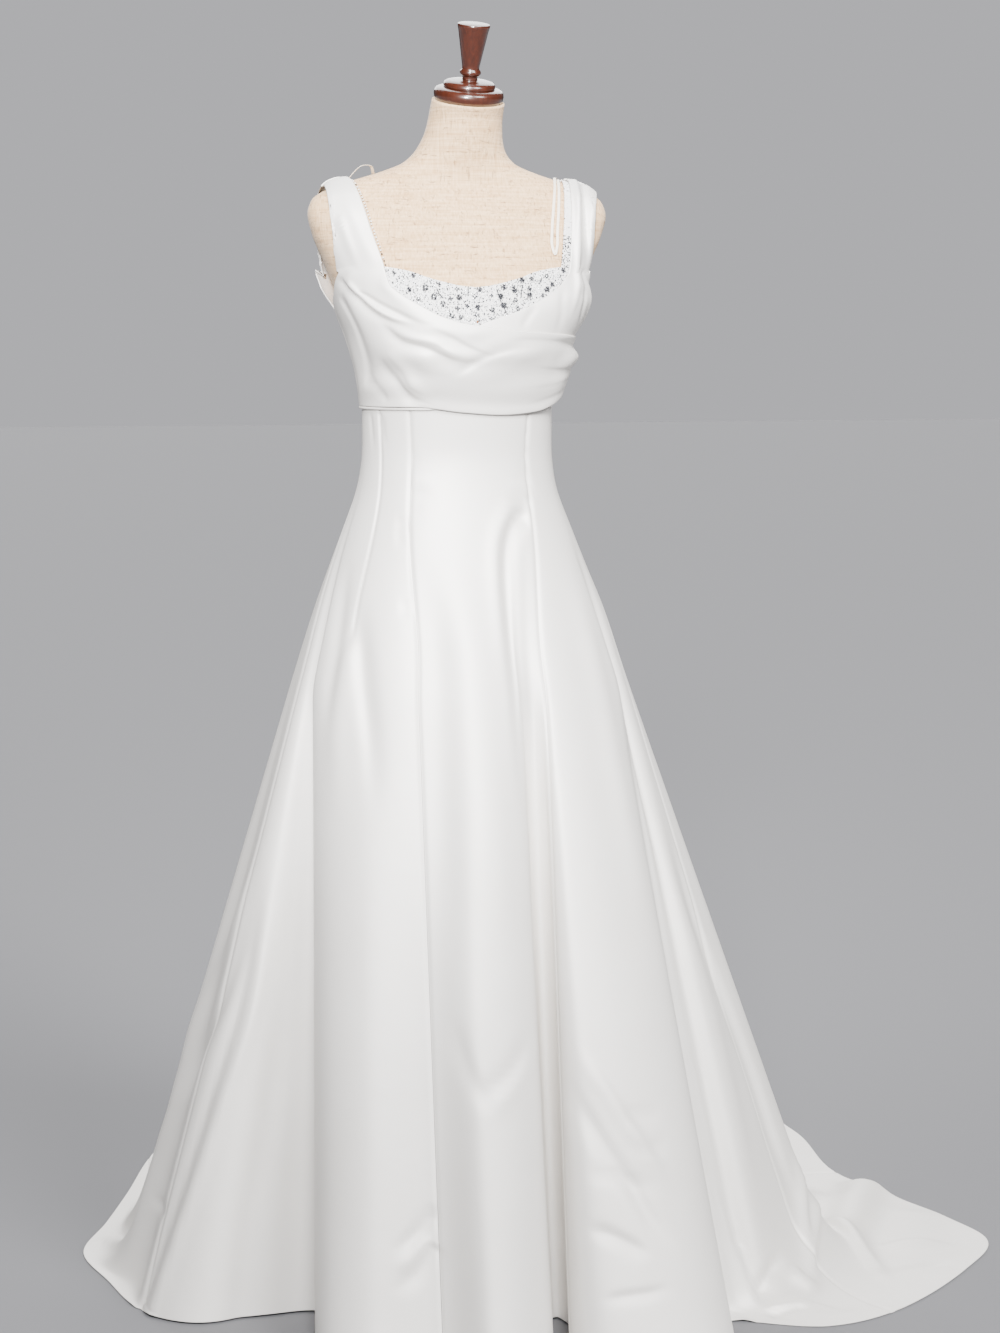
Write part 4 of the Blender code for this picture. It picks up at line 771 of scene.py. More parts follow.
bodice = {
    "cloth": 0.0015, "underLift": 0.0052, "overLift": 0.0084, "shoulderSeam": 0.50,
    "shoulderGap": 0.0012, "columns": 76, "rowsPerLine": 12, "strapRows": 56, "solidSteps": 8,
    "edgeLift": 0.0016, "overRim": 0.15, "freeRoll": 0.0013, "sideRoll": 0.0011, "seamRoll": 0.0002,
    # neck edge angle and height, outer edge angle and height, how far the line is puffed out
    "over": [
        (51.5, 1.326, 73, 1.320, 0), (47, 1.305, 83, 1.296, 0), (41, 1.293, 92, 1.279, 0),
        (34, 1.283, 96.88, 1.245, 0), (27, 1.274, 96.88, 1.200, 0), (19, 1.265, 96.88, 1.1520, 0),
        (9, 1.258, 66, 1.1520, 0), (-2, 1.254, 52, 1.1520, 0), (-14, 1.250, 36, 1.1516, 0),
        (-28, 1.247, 8, 1.1455, 0), (-42, 1.245, -22, 1.142, 0.001),
        (-58, 1.243, -47, 1.145, 0.005), (-72, 1.241, -66, 1.155, 0.012),
        (-85, 1.240, -82, 1.168, 0.016), (-96.5, 1.239, -96.5, 1.182, 0.001)],
    "under": [
        (58, 1.320, 75, 1.322, 0), (52, 1.306, 84, 1.294, 0.008), (44, 1.294, 92, 1.272, 0.012),
        (35, 1.283, 96.88, 1.235, 0.009), (25, 1.273, 96.88, 1.190, 0.003),
        (14, 1.265, 96.88, 1.1503, 0), (3, 1.257, 66, 1.1503, 0), (-11, 1.238, 38, 1.1503, 0),
        (-25, 1.214, 12, 1.1503, 0), (-39, 1.194, -12, 1.1503, 0), (-53, 1.178, -39, 1.1503, 0),
        (-66, 1.166, -63, 1.1503, 0)],
    "back": [
        (127.5, 1.320, 99, 1.324, 0), (136, 1.303, 98, 1.294, 0), (145, 1.287, 97.12, 1.262, 0),
        (154, 1.274, 97.12, 1.205, 0), (163, 1.262, 97.12, 1.1503, 0),
        (169, 1.257, 122, 1.1503, 0), (174, 1.253, 150, 1.1503, 0),
        (179.85, 1.250, 179.85, 1.1503, 0)],
    # main folds: the lines they run between, their share across at each end, width and height
    "overFolds": [
        (-4.0, 1.0, 0.80, 0.60, 0.14, 0.0020), (0.4, 7.5, 0.05, 0.10, 0.09, 0.0022),
        (0.8, 10.0, 0.55, 0.28, 0.10, 0.0026), (3.2, 12.0, 0.80, 0.70, 0.14, 0.0030),
        (5.5, 14.0, 1.00, 0.97, 0.10, 0.0026), (10.0, 14.0, 0.03, 0.03, 0.06, 0.0014),
        (11.0, 14.0, 0.33, 0.37, 0.12, 0.0052), (11.6, 14.0, 0.68, 0.64, 0.12, 0.0016),
        (11.2, 14.0, 0.86, 0.82, 0.09, 0.0010)],
    "underFolds": [
        (-6.0, 1.2, 0.30, 0.35, 0.14, 0.0040), (-6.0, 0.6, 0.90, 0.85, 0.14, 0.0035),
        (0.4, 3.6, 0.62, 0.70, 0.10, 0.0022)],
    "backFolds": [(-3.0, 1.3, 1.00, 1.00, 0.16, 0.0100)],
    # along the strap; inner, outer and beaded edges of the right strap, then the left's; its lift
    "straps": [
        (0.00, 0.1120, 0.1640, 0.1094, 0.1300, 0.1675, 0.1150, 0.0052),
        (0.15, 0.1248, 0.1690, 0.1220, 0.1345, 0.1680, 0.1215, 0.0052),
        (0.30, 0.1352, 0.1735, 0.1324, 0.1380, 0.1720, 0.1270, 0.0062),
        (0.42, 0.1438, 0.1750, 0.1415, 0.1410, 0.1800, 0.1315, 0.0085),
        (0.50, 0.1482, 0.1750, 0.1460, 0.1420, 0.1830, 0.1340, 0.0098),
        (0.58, 0.1466, 0.1755, 0.1441, 0.1410, 0.1820, 0.1330, 0.0100),
        (0.75, 0.1345, 0.1750, 0.1315, 0.1310, 0.1760, 0.1240, 0.0060),
        (1.00, 0.1085, 0.1660, 0.1055, 0.1080, 0.1660, 0.1020, 0.0052)],
}

# Fine creases of the bodice, in the same rows, with points as (line number, share across).
bodiceCreases = {
    "drape_over_right": [
        (-0.0034, (0.0035, 0.008), (0.15, 0.3), [(0.2, 0.86), (0.5, 0.78), (0.95, 0.6), (2.08, 0.41),
            (3.17, 0.32), (3.9, 0.25), (4.5, 0.17), (5.3, 0.12)]),
        (0.0026, (0.004, 0.004), (0.2, 0.3), [(0.55, 0.66), (0.9, 0.52), (2.0, 0.36), (3.0, 0.28),
            (3.8, 0.21), (4.4, 0.14)]),
        (-0.0024, (0.003, 0.006), (0.2, 0.3), [(1.17, 0.45), (2.0, 0.31), (2.67, 0.235), (3.5, 0.17),
            (4.5, 0.12), (5.4, 0.08)]),
        (-0.0036, (0.0035, 0.01), (0.3, 0.35), [(3.6, 0.36), (4.25, 0.297), (5.42, 0.285),
            (6.67, 0.36), (7.92, 0.435), (8.6, 0.45)]),
        (0.002, (0.006, 0.0035), (0.3, 0.35), [(3.8, 0.3), (4.5, 0.245), (5.5, 0.225), (6.7, 0.3),
            (7.9, 0.37), (8.7, 0.39)]),
        (-0.002, (0.003, 0.008), (0.35, 0.35), [(4.9, 0.11), (6.08, 0.156), (7.2, 0.23), (8.3, 0.31),
            (8.9, 0.36)]),
        (-0.0024, (0.008, 0.004), (0.35, 0.35), [(8.05, 0.6), (8.2, 0.5), (8.35, 0.4), (8.65, 0.28),
            (9.2, 0.2), (10.1, 0.16)]),
        (-0.0016, (0.004, 0.008), (0.3, 0.1), [(8.5, 0.16), (9.17, 0.105), (10.25, 0.1),
            (11.92, 0.07), (13.4, 0.05)]),
        (-0.003, (0.003, 0.007), (0.5, 0.05), [(10.1, 0.1), (11.0, 0.12), (12.25, 0.15),
            (13.8, 0.14)]),
        (-0.0022, (0.004, 0.013), (0.5, 0.05), [(9.9, 0.42), (11.08, 0.47), (12.42, 0.53),
            (13.8, 0.57)]),
        (-0.0014, (0.005, 0.012), (0.5, 0.05), [(9.6, 0.72), (11.17, 0.69), (12.25, 0.7),
            (13.8, 0.76)]),
        (-0.0009, (0.004, 0.008), (0.5, 0.05), [(10.2, 0.93), (11.0, 0.88), (11.9, 0.86),
            (13.6, 0.9)]),
        (-0.004, (0.0035, 0.01), (0.35, 0.2), [(4.6, 0.42), (5.08, 0.471), (5.67, 0.615),
            (6.17, 0.721), (6.9, 0.83), (7.6, 0.915), (8.3, 0.955)]),
        (0.0026, (0.01, 0.005), (0.35, 0.3), [(4.5, 0.35), (5.1, 0.4), (5.8, 0.54), (6.4, 0.66),
            (7.1, 0.76), (8.2, 0.86)]),
        (-0.0024, (0.003, 0.007), (0.35, 0.35), [(5.0, 0.6), (5.42, 0.703), (5.92, 0.86),
            (6.3, 0.97)]),
        (-0.0024, (0.01, 0.005), (0.3, 0.2), [(1.3, 0.78), (2.0, 0.66), (3.08, 0.56), (4.17, 0.585),
            (4.92, 0.66), (5.6, 0.84)]),
        (-0.0018, 0.006, (0.35, 0.35), [(2.0, 0.9), (3.0, 0.92), (4.17, 0.88), (5.2, 0.93)]),
        (0.003, (0.014, 0.014), (0.35, 0.35), [(5.3, 0.38), (6.3, 0.46), (7.4, 0.54), (8.42, 0.56),
            (9.17, 0.5), (9.9, 0.42)]),
        (-0.0014, 0.01, (0.35, 0.35), [(-5.8, 0.92), (-4.0, 0.92), (-2.57, 0.86), (-1.2, 0.78),
            (-0.2, 0.66), (0.5, 0.5)]),
        (0.0012, 0.009, (0.35, 0.35), [(-6.5, 0.42), (-5.0, 0.42), (-3.3, 0.36), (-1.43, 0.27),
            (0.3, 0.14)]),
    ],
    "drape_under_left": [
        (-0.0026, (0.004, 0.006), (0.05, 0.4), [(-7.8, 0.5), (-6.14, 0.52), (-4.0, 0.6), (-2.2, 0.7),
            (-1.0, 0.8), (0.2, 0.86)]),
        (0.0022, (0.005, 0.005), (0.1, 0.3), [(-7.8, 0.24), (-5.7, 0.235), (-3.7, 0.2),
            (-1.86, 0.22), (0.3, 0.26), (2.0, 0.27), (3.4, 0.36)]),
        (-0.0022, 0.006, (0.35, 0.35), [(-1.3, 0.46), (0.42, 0.42), (2.0, 0.43), (3.2, 0.58)]),
        (0.0018, 0.007, (0.35, 0.35), [(-0.6, 0.62), (0.9, 0.6), (2.4, 0.66), (3.2, 0.74)]),
        (-0.0014, 0.006, (0.35, 0.35), [(0.9, 0.05), (2.4, 0.16), (3.4, 0.27), (4.3, 0.36)]),
        (-0.0014, 0.005, (0.35, 0.35), [(3.0, 0.02), (4.1, 0.08), (5.08, 0.14)]),
    ],
    "back_bodice_right": [
        (-0.0016, 0.007, (0.35, 0.35), [(-7.5, 0.45), (-5.0, 0.5), (-2.0, 0.55), (0.5, 0.62)]),
        (-0.0014, 0.007, (0.0, 0.5), [(2.0, 0.92), (2.5, 0.7), (3.2, 0.5)]),
        (-0.0012, 0.006, (0.0, 0.5), [(3.2, 0.96), (3.8, 0.76), (4.4, 0.6)]),
    ],
    "back_bodice_left": [
        (-0.0014, 0.008, (0.35, 0.35), [(-7.5, 0.55), (-5.0, 0.5), (-2.0, 0.48), (0.5, 0.55)]),
        (-0.0015, 0.006, (0.0, 0.5), [(2.3, 0.94), (2.7, 0.74), (3.1, 0.56)]),
        (-0.0011, 0.007, (0.0, 0.5), [(3.5, 0.95), (4.0, 0.72), (4.5, 0.55)]),
    ],
}


def foldHeight(folds, row, across):
    total = np.zeros(np.broadcast(row, across).shape)
    for start, end, acrossStart, acrossEnd, width, height in folds:
        share = np.clip((row - start) / (end - start), 0, 1)
        middle = acrossStart + (acrossEnd - acrossStart) * share
        ends = smoothStep((row - start) / 1.2 + 0.15) * smoothStep((end - row) / 1.2 + 0.45)
        total = total + height * np.exp(-(((across - middle) / width) ** 2)) * ends
    return total


def strapEdges(side, along):
    table = np.array(bodice["straps"], float)
    values = steadyCurve(table[:, 0], table[:, 1:], np.array([along]))[0]
    return (*(values[:3] if side < 0 else values[3:6]), values[6])


def strapRow(side, along, across, extra):
    inner, outer, _, lift = strapEdges(side, along)
    base = min(lift, bodice["underLift"] + bodice["edgeLift"])
    lifts = base + (lift - base) * (1 - np.abs(2 * across - 1) ** 3) + extra
    row = [overShoulder(inner + (outer - inner) * a, along, rise) for a, rise in zip(across, lifts)]
    return np.array(row) * np.array([side, 1, 1])


def drapeGrid(side, lines, folds, lift, rim, shares):
    # from the shoulder seam down, line by line, with each point's line number and share across
    across = np.linspace(0, 1, 41)
    steps = bodice["solidSteps"] + 1
    rows, numbers = [], []
    for along, number in shares:
        puff = foldHeight(folds, np.full(len(across), number), across)
        rise = (lift - bodice["underLift"]) * (number + steps) / steps
        rows.append(strapRow(side, along, across, puff + rise))
        numbers.append(number)
    table = np.array(lines, float)
    places = np.linspace(0, len(lines) - 1, (len(lines) - 1) * bodice["rowsPerLine"] + 1)
    bulge = np.sin(math.pi * (rim + (1 - 2 * rim) * across))
    for place, line in zip(places, steadyCurve(np.arange(len(lines), dtype=float), table, places)):
        angle = line[0] + (line[2] - line[0]) * across
        z = line[1] + (line[3] - line[1]) * across
        puff = foldHeight(folds, np.full(len(across), place), across) + line[4] * bulge
        rows.append(bodyPoint(angle * side, z, lift + puff))
        numbers.append(place)
    grid = np.array(rows)
    extra = np.stack([np.broadcast_to(np.array(numbers)[:, None], grid.shape[:2]),
                      np.broadcast_to(across, grid.shape[:2])], axis=-1)
    if side < 0:
        grid, extra = grid[:, ::-1], extra[:, ::-1]
    return grid, extra


def drapePiece(name, side, kind, lift, rim, behind, roll, seams):
    count, gap = bodice["solidSteps"], bodice["shoulderGap"]
    start, end = bodice["shoulderSeam"] + (gap if behind else -gap), 1.0 if behind else 0.0
    shares = [(start + (end - start) * s / count, s - count)
              for s in np.linspace(0, count, bodice["strapRows"], endpoint=False)]
    grid, extra = drapeGrid(side, bodice[kind], bodice[kind + "Folds"], lift, rim, shares)
    grid, extra = resampleRows(grid, extra, bodice["columns"])
    creases = bodiceCreases[name]
    paths = [creaseLine(points, extra[..., 0].ravel(), extra[..., 1].ravel(), grid.reshape(-1, 3))
             for _, _, _, points in creases]
    outer, inner, uv = woven(grid, bodice["cloth"], roll, seams, creases, paths)
    return clothObject(name + "_satin", outer, inner, uv)


topRoll = {"top": bodice["seamRoll"]}
overRoll = {**topRoll, "first": bodice["freeRoll"], "last": bodice["freeRoll"]}
underRoll = {**overRoll, "last": bodice["sideRoll"]}
over, under = bodice["overLift"], bodice["underLift"]
bodicePieces = {
    name: drapePiece(name, *rest) for name, *rest in (
        ("drape_over_right", -1, "over", over, bodice["overRim"], False, overRoll, ()),
        ("drape_under_left", 1, "under", under, 0.0, False, underRoll, ()),
        ("back_bodice_right", -1, "back", under, 0.0, True, topRoll, ("bottom",)),
        ("back_bodice_left", 1, "back", under, 0.0, True, topRoll, ("bottom",)))
}
print("bodice made")


beading = {
    "lift": 0.0026, "net": 0.0008, "bottom": 1.238, "strapWidth": 0.020, "reach": 63,
    "neckline": [
        (0, 1.302), (10, 1.304), (20, 1.3085), (30, 1.314), (40, 1.3215), (48, 1.3255),
        (56, 1.3285), (63, 1.3310)],
    # the drapes' crossing edge, as heights at angles: beads stop a little below it
    "drapeEdge": [
        (-52, 1.326), (-47, 1.305), (-41, 1.293), (-34, 1.283), (-27, 1.274), (-19, 1.265),
        (-9, 1.258), (2, 1.256), (14, 1.265), (25, 1.273), (35, 1.283), (44, 1.294), (52, 1.306),
        (58, 1.320)],
    "seed": 7, "metresPerDegree": 0.0021,
    # single beads: first and last height and angle, spacing, radius, the share that is sewn on, and
    # the share of them that is dark, then pearly
    "beadHeights": (1.250, 1.333), "beadAngles": (-62.0, 62.5), "beadStep": 0.0024,
    "beadRadius": (0.0007, 0.00125), "beadShares": (0.9, 0.32, 0.6),
    # clusters, a ring of dark beads round one: heights and step, angles and every second row's shift
    "clusterHeights": (1.252, 1.332, 0.0125), "clusterAngles": (-60, 61, 4.5), "clusterStep": 0.0165,
    "clusterSize": (1.25, 1.75), "clusterCounts": (4, 5, 6, 7), "clusterClear": 0.0030,
    "middleRadius": 0.0010, "ringRadius": (0.0007, 0.0010),
    # each strap: its side, how far the net's edge stands out from under it (below 0 it is tucked
    # in), the edge row's spacing and the size and drop of its beads, the share along it where the
    # dense part begins, how many columns have beads above that, and the chances in the first three
    "straps": {
        "beaded_strap_right": {"side": -1, "peep": -0.0012, "every": 3, "edgeSize": 1.7,
                               "hang": 0.0022, "denseFrom": 0.93, "columns": 3,
                               "chances": (0.0, 0.45, 0.30)},
        "beaded_strap_left": {"side": 1, "peep": -0.0025, "every": 2, "hang": 0.0,
                              "denseFrom": 0.85, "columns": 13, "chances": (0.0, 0.0, 0.30)},
    },
    "netColumns": 13, "denseSize": 1.3, "denseChance": 0.60, "looseChance": 0.03,
    "strapDarkShares": (0.04, 0.55), "strapRadius": (0.0007, 0.0009),
    # short sprays of dark beads, and one amber bead: angle and height
    "sprayStep": 0.0019, "sprayRadius": 0.0010, "amberRadius": 0.0016,
    "sprays": [[(-5.0, 1.3008), (-5.1, 1.2950), (-5.2, 1.2908)],
               [(13.5, 1.2983), (14.2, 1.2897), (15.2, 1.2810), (17.2, 1.2710)],
               [(-24.0, 1.2990), (-22.5, 1.2930), (-20.2, 1.2880)],
               [(30.0, 1.3040), (28.2, 1.2960), (27.4, 1.2890)],
               [(42.0, 1.3130), (40.0, 1.3060)]],
    "amber": (-0.2, 1.2588),
    # ruches across the strap nets: place along the strap, height, half width
    "ruches": [
        (0.030, 0.0012, 0.008), (0.062, 0.0014, 0.009), (0.095, 0.0014, 0.008),
        (0.128, 0.0020, 0.008), (0.154, 0.0026, 0.007), (0.181, 0.0020, 0.008),
        (0.205, 0.0027, 0.007), (0.233, 0.0019, 0.007), (0.257, 0.0028, 0.008),
        (0.286, 0.0022, 0.007), (0.309, 0.0017, 0.007), (0.338, 0.0027, 0.008),
        (0.366, 0.0019, 0.007), (0.392, 0.0024, 0.008), (0.424, 0.0018, 0.008),
        (0.455, 0.0022, 0.009), (0.490, 0.0016, 0.009), (0.528, 0.0018, 0.011),
        (0.575, 0.0014, 0.011), (0.640, 0.0018, 0.013), (0.700, 0.0015, 0.011),
        (0.760, 0.0019, 0.013), (0.815, 0.0014, 0.010), (0.880, 0.0018, 0.012)],
}

neck = np.array(beading["neckline"], float)
netAngles = np.linspace(-beading["reach"], beading["reach"], 135)
netTops = steadyCurve(neck[:, 0], neck[:, 1:], np.abs(netAngles))[:, 0]
netRows = [bodyPoint(netAngles, netTops + (beading["bottom"] - netTops) * share, beading["lift"])
           for share in np.concatenate([[0, 0.006, 0.02], np.linspace(0.05, 1, 30)])]
grid = np.array(netRows)
outer, inner, uv = woven(grid, beading["net"])
beadedBodice = clothObject("beaded_bodice_net", outer, inner, uv)


def strapNet(strap):
    rows = []
    side = strap["side"]
    shares = np.linspace(0, 1, beading["netColumns"])
    for along in np.linspace(0.0, 0.97, 210):
        edgeOut = strapEdges(side, along)[2] - strap["peep"]
        ruched = sum(height * np.exp(-((along - middle + 0.006 * (shares - 0.5)) / width) ** 2)
                     for middle, height, width in beading["ruches"])
        ruched = ruched * np.sin(math.pi * (0.12 + 0.76 * shares))
        lifts = beading["lift"] + ruched * 0.8
        rows.append([overShoulder(edgeOut + beading["strapWidth"] * a, along, lift)
                     for a, lift in zip(shares, lifts)])
    grid = (np.array(rows) * np.array([side, 1, 1]))[::-1]
    return grid[:, ::-1] if side < 0 else grid


def beadTemplate(divisions):
    bm = bmesh.new()
    bmesh.ops.create_icosphere(bm, subdivisions=divisions, radius=1.0)
    points = np.array([v.co for v in bm.verts])
    faces = [[v.index for v in f.verts] for f in bm.faces]
    bm.free()
    return points, faces


smallBead, roundBead = beadTemplate(1), beadTemplate(2)


def beadObject(name, beads):
    # many copies of one bead: (place, outward direction, radius, flatness, template)
    points, faces, start = [], [], 0
    for place, out, radius, flat, (shape, shapeFaces) in beads:
        placed = shape * radius
        placed = placed - np.outer(placed @ out, out) * (1 - flat)
        points.append(placed + place)
        faces += [[v + start for v in f] for f in shapeFaces]
        start += len(shape)
    return meshObject(name, np.concatenate(points), faces)


def onNet(angle, z, rise):
    place = bodyPoint(np.array([angle, angle + 0.4, angle]), np.array([z, z, z + 0.002]),
                      np.full(3, beading["lift"]))
    out = unit(np.cross(place[1] - place[0], place[2] - place[0]))
    return place[0] + out * rise, out


def netEdges(angle):
    # the drapes' edge and the neckline, as heights at an angle
    return (float(np.interp(angle, edge[:, 0], edge[:, 1])),
            float(np.interp(abs(angle), neck[:, 0], neck[:, 1])))


random.seed(beading["seed"])
edge = np.array(beading["drapeEdge"], float)
metresPerDegree = beading["metresPerDegree"]
clusters, smallBeads, darkBeads, brightBeads = [], [], [], []
z, highest, rowStep = beading["clusterHeights"]
firstAngle, lastAngle, shift = beading["clusterAngles"]
row = 0
while z < highest:
    angle = firstAngle + (row % 2) * shift
    while angle < lastAngle:
        a, h = angle + random.uniform(-2.4, 2.4), z + random.uniform(-0.0042, 0.0042)
        low, top = netEdges(a)
        if low + 0.001 < h < top - 0.003:
            clusters.append((a, h))
        angle += beading["clusterStep"] / metresPerDegree
    z += rowStep
    row += 1
for a, h in clusters:
    place, out = onNet(a, h, 0.0008)
    side = unit(np.cross(out, np.array([0.0, 0.0, 1.0])))
    up = np.cross(side, out)
    size = random.uniform(*beading["clusterSize"])
    count = random.choice(beading["clusterCounts"])
    reach = 0.0009 + 0.00013 * count
    kind = darkBeads if random.random() < 0.5 else brightBeads
    kind.append((place, out, beading["middleRadius"] * size, 0.7, roundBead))
    for k in range(count):
        turn = 2 * math.pi * (k + random.uniform(-0.25, 0.25)) / count
        aside = side * math.cos(turn) * random.uniform(0.8, 1.2)
        at = place + (aside + up * math.sin(turn)) * reach * size
        darkBeads.append((at, out, random.uniform(*beading["ringRadius"]) * size, 0.8, smallBead))
for spray in beading["sprays"]:
    path = np.array(spray)
    steps = alongLengths(path * np.array([metresPerDegree, 1.0]))
    for at in np.arange(0, steps[-1], beading["sprayStep"]):
        a, h = (float(np.interp(at, steps, path[:, k])) for k in (0, 1))
        place, out = onNet(a, h, 0.0012)
        darkBeads.append((place, out, beading["sprayRadius"], 0.8, smallBead))
amberBeads = [(*onNet(*beading["amber"], 0.0012), beading["amberRadius"], 0.8, roundBead)]
z, highest = beading["beadHeights"]
firstAngle, lastAngle = beading["beadAngles"]
sewn, dark, pearly = beading["beadShares"]
while z < highest:
    angle = firstAngle
    while angle < lastAngle:
        a = angle + random.uniform(-0.42, 0.42)
        h = z + random.uniform(-0.0007, 0.0007)
        low, top = netEdges(a)
        clear = all((a - c) ** 2 * metresPerDegree ** 2 + (h - d) ** 2 > beading["clusterClear"] ** 2
                    for c, d in clusters)
        if low - 0.004 < h < top - 0.0004 and clear and random.random() < sewn:
            place, out = onNet(a, h, 0.0003)
            radius = random.uniform(*beading["beadRadius"])
            if random.random() < dark:
                kind = darkBeads
            else:
                kind = smallBeads if random.random() < pearly else brightBeads
            kind.append((place, out, radius, 0.85, smallBead))
        angle += beading["beadStep"] / metresPerDegree
    z += beading["beadStep"] * 0.9

strapNets = {}
for name, strap in beading["straps"].items():
    grid = strapNet(strap)
    outer, inner, uv = woven(grid, beading["net"])
    strapNets[name] = clothObject(name + "_net", outer, inner, uv)
    normals = outwardNormals(grid)
    fromNeck = range(beading["netColumns"])[::strap["side"]]
    for i in range(1, len(grid) - 1):
        dense = i > len(grid) * strap["denseFrom"]
        for k, column in enumerate(fromNeck if dense else fromNeck[:strap["columns"]]):
            chance = strap["chances"][k] if k < 3 else beading["looseChance"]
            if dense and k:
                chance = beading["denseChance"]
            if k == 0 and i % strap["every"] == 0 or random.random() < chance:
                size = beading["denseSize"] if dense else 1.0
                place = grid[i, column] + normals[i, column] * 0.0003
                if k == 0 and strap["hang"]:  # this row hangs just off the net's edge
                    size = strap["edgeSize"]
                    place = place + unit(grid[i, column] - grid[i, column - 1]) * strap["hang"]
                aside, above = (random.uniform(-1, 1) * 0.0005 for _ in range(2))
                place = place + np.array([aside, 0, above])
                dark = random.random() < beading["strapDarkShares"][dense]
                kind = darkBeads if dark else smallBeads
                radius = random.uniform(*beading["strapRadius"]) * size
                kind.append((place, normals[i, column], radius, 0.9, smallBead))
pearlBeads = beadObject("pearl_beads", smallBeads)
crystalBeads = beadObject("crystal_beads", brightBeads)
silverBeads = beadObject("silver_beads", darkBeads)
amberBead = beadObject("amber_bead", amberBeads)
print("beads sewn on:", len(smallBeads), len(brightBeads), len(darkBeads))


piping = {"radius": 0.0017, "gap": 0.0003, "ends": (-96, -24), "taper": 9}


def roundCord(name, path, radius, sides=14):
    tangent = unit(np.gradient(path, axis=0))
    up = np.array([0.0, 0.0, 1.0])
    flat = unit(np.cross(tangent, up))
    high = np.cross(flat, tangent)
    turns = np.arange(sides) * 2 * math.pi / sides
    rings = np.array([[p + (f * math.cos(t) + h * math.sin(t)) * r for t in turns]
                      for p, f, h, r in zip(path, flat, high, radius)])
    uvs = [(r * t, d) for d, r in zip(alongLengths(path), radius) for t in turns]
    made = meshObject(name, rings.reshape(-1, 3), tubeFaces(len(path), sides), uvs)
    bm = bmesh.new()
    bm.from_mesh(made.data)
    bmesh.ops.recalc_face_normals(bm, faces=bm.faces)
    bm.to_mesh(made.data)
    bm.free()
    return made


angles = np.linspace(*piping["ends"], 90)
plan = polar(angles, midriffRadius(angles, body["empire"]) + piping["radius"] + piping["gap"])
pipingRoute = np.concatenate([plan, np.full((len(angles), 1), body["empire"])], axis=1)
narrowing = smoothStep((piping["ends"][1] - angles) / piping["taper"])
tapered = piping["radius"] * (0.15 + 0.85 * narrowing)
pipingPiece = roundCord("empire_piping_cord", pipingRoute, tapered)


formAngles = np.arange(0, 360, body["ringStep"])
formHeights = np.concatenate([np.linspace(*stretch) for stretch in body["ringHeights"]])


def neckLean(points):
    axis, lean = math.radians(body["leanTowards"]), math.radians(body["neckLean"])
    towards = np.array([math.sin(axis), -math.cos(axis), 0.0])
    side = np.array([math.cos(axis), math.sin(axis), 0.0])
    up = np.array([0.0, 0.0, 1.0])
    top = np.array([body["neckAside"], body["sections"][-1][5], body["neckTop"]])
    off = np.asarray(points, float) - top
    along, across, rise = off @ towards, off @ side, off @ up
    tippedAlong = along * math.cos(lean) + rise * math.sin(lean)
    tippedRise = rise * math.cos(lean) - along * math.sin(lean)
    return top + np.outer(tippedAlong, towards) + np.outer(across, side) + np.outer(tippedRise, up)


def formObject():
    rings = []
    for z in formHeights:
        ring = bodyPoint(formAngles, np.full(len(formAngles), z))
        ring[:, 0] += body["neckAside"] * smoothStep(
            np.array((z - body["neckRoot"]) / (body["neckTop"] - body["neckRoot"])))
        lean = (z - body["leanFrom"]) / (body["neckTop"] - body["leanFrom"])
        lean = float(smoothStep(np.array(lean)))
        rings.append(ring + (neckLean(ring) - ring) * lean)
    grid = np.array(rings)
    count, sides = grid.shape[:2]
    points = grid.reshape(-1, 3)
    faces = [(i * sides + k, (i + 1) * sides + k,
              (i + 1) * sides + (k + 1) % sides, i * sides + (k + 1) % sides)
             for i in range(count - 1) for k in range(sides)]
    faces += [tuple(range(sides)), tuple(range((count - 1) * sides, count * sides))[::-1]]
    return meshObject("form_torso_linen", points, faces)


formPiece = formObject()

lathe = {
    "sides": 72,
    "seat": 1.5363,
    # radius and height pairs from each piece's foot to its top
    "neck_cap_disc": [
        (0.0395, 0.0), (0.0418, 0.0006), (0.0435, 0.0030), (0.0445, 0.0080), (0.0438, 0.0118),
        (0.0418, 0.0148), (0.0375, 0.0165), (0.0300, 0.0167)],
    "neck_cap_step": [
        (0.0325, 0.0), (0.0331, 0.0012), (0.0330, 0.0030), (0.0318, 0.0058), (0.0290, 0.0076),
        (0.0245, 0.0086), (0.0120, 0.0098)],
    "neck_handle": [
        (0.0100, 0.0), (0.0095, 0.0022), (0.0098, 0.0040), (0.0120, 0.0056), (0.0133, 0.0075),
        (0.0134, 0.0090), (0.0129, 0.0108), (0.0112, 0.0126), (0.0108, 0.0138), (0.0114, 0.0180),
        (0.0125, 0.0240), (0.0143, 0.0340), (0.0168, 0.0480), (0.0190, 0.0600), (0.0202, 0.0648),
        (0.0206, 0.0672), (0.0199, 0.0685), (0.0182, 0.0691)],
}


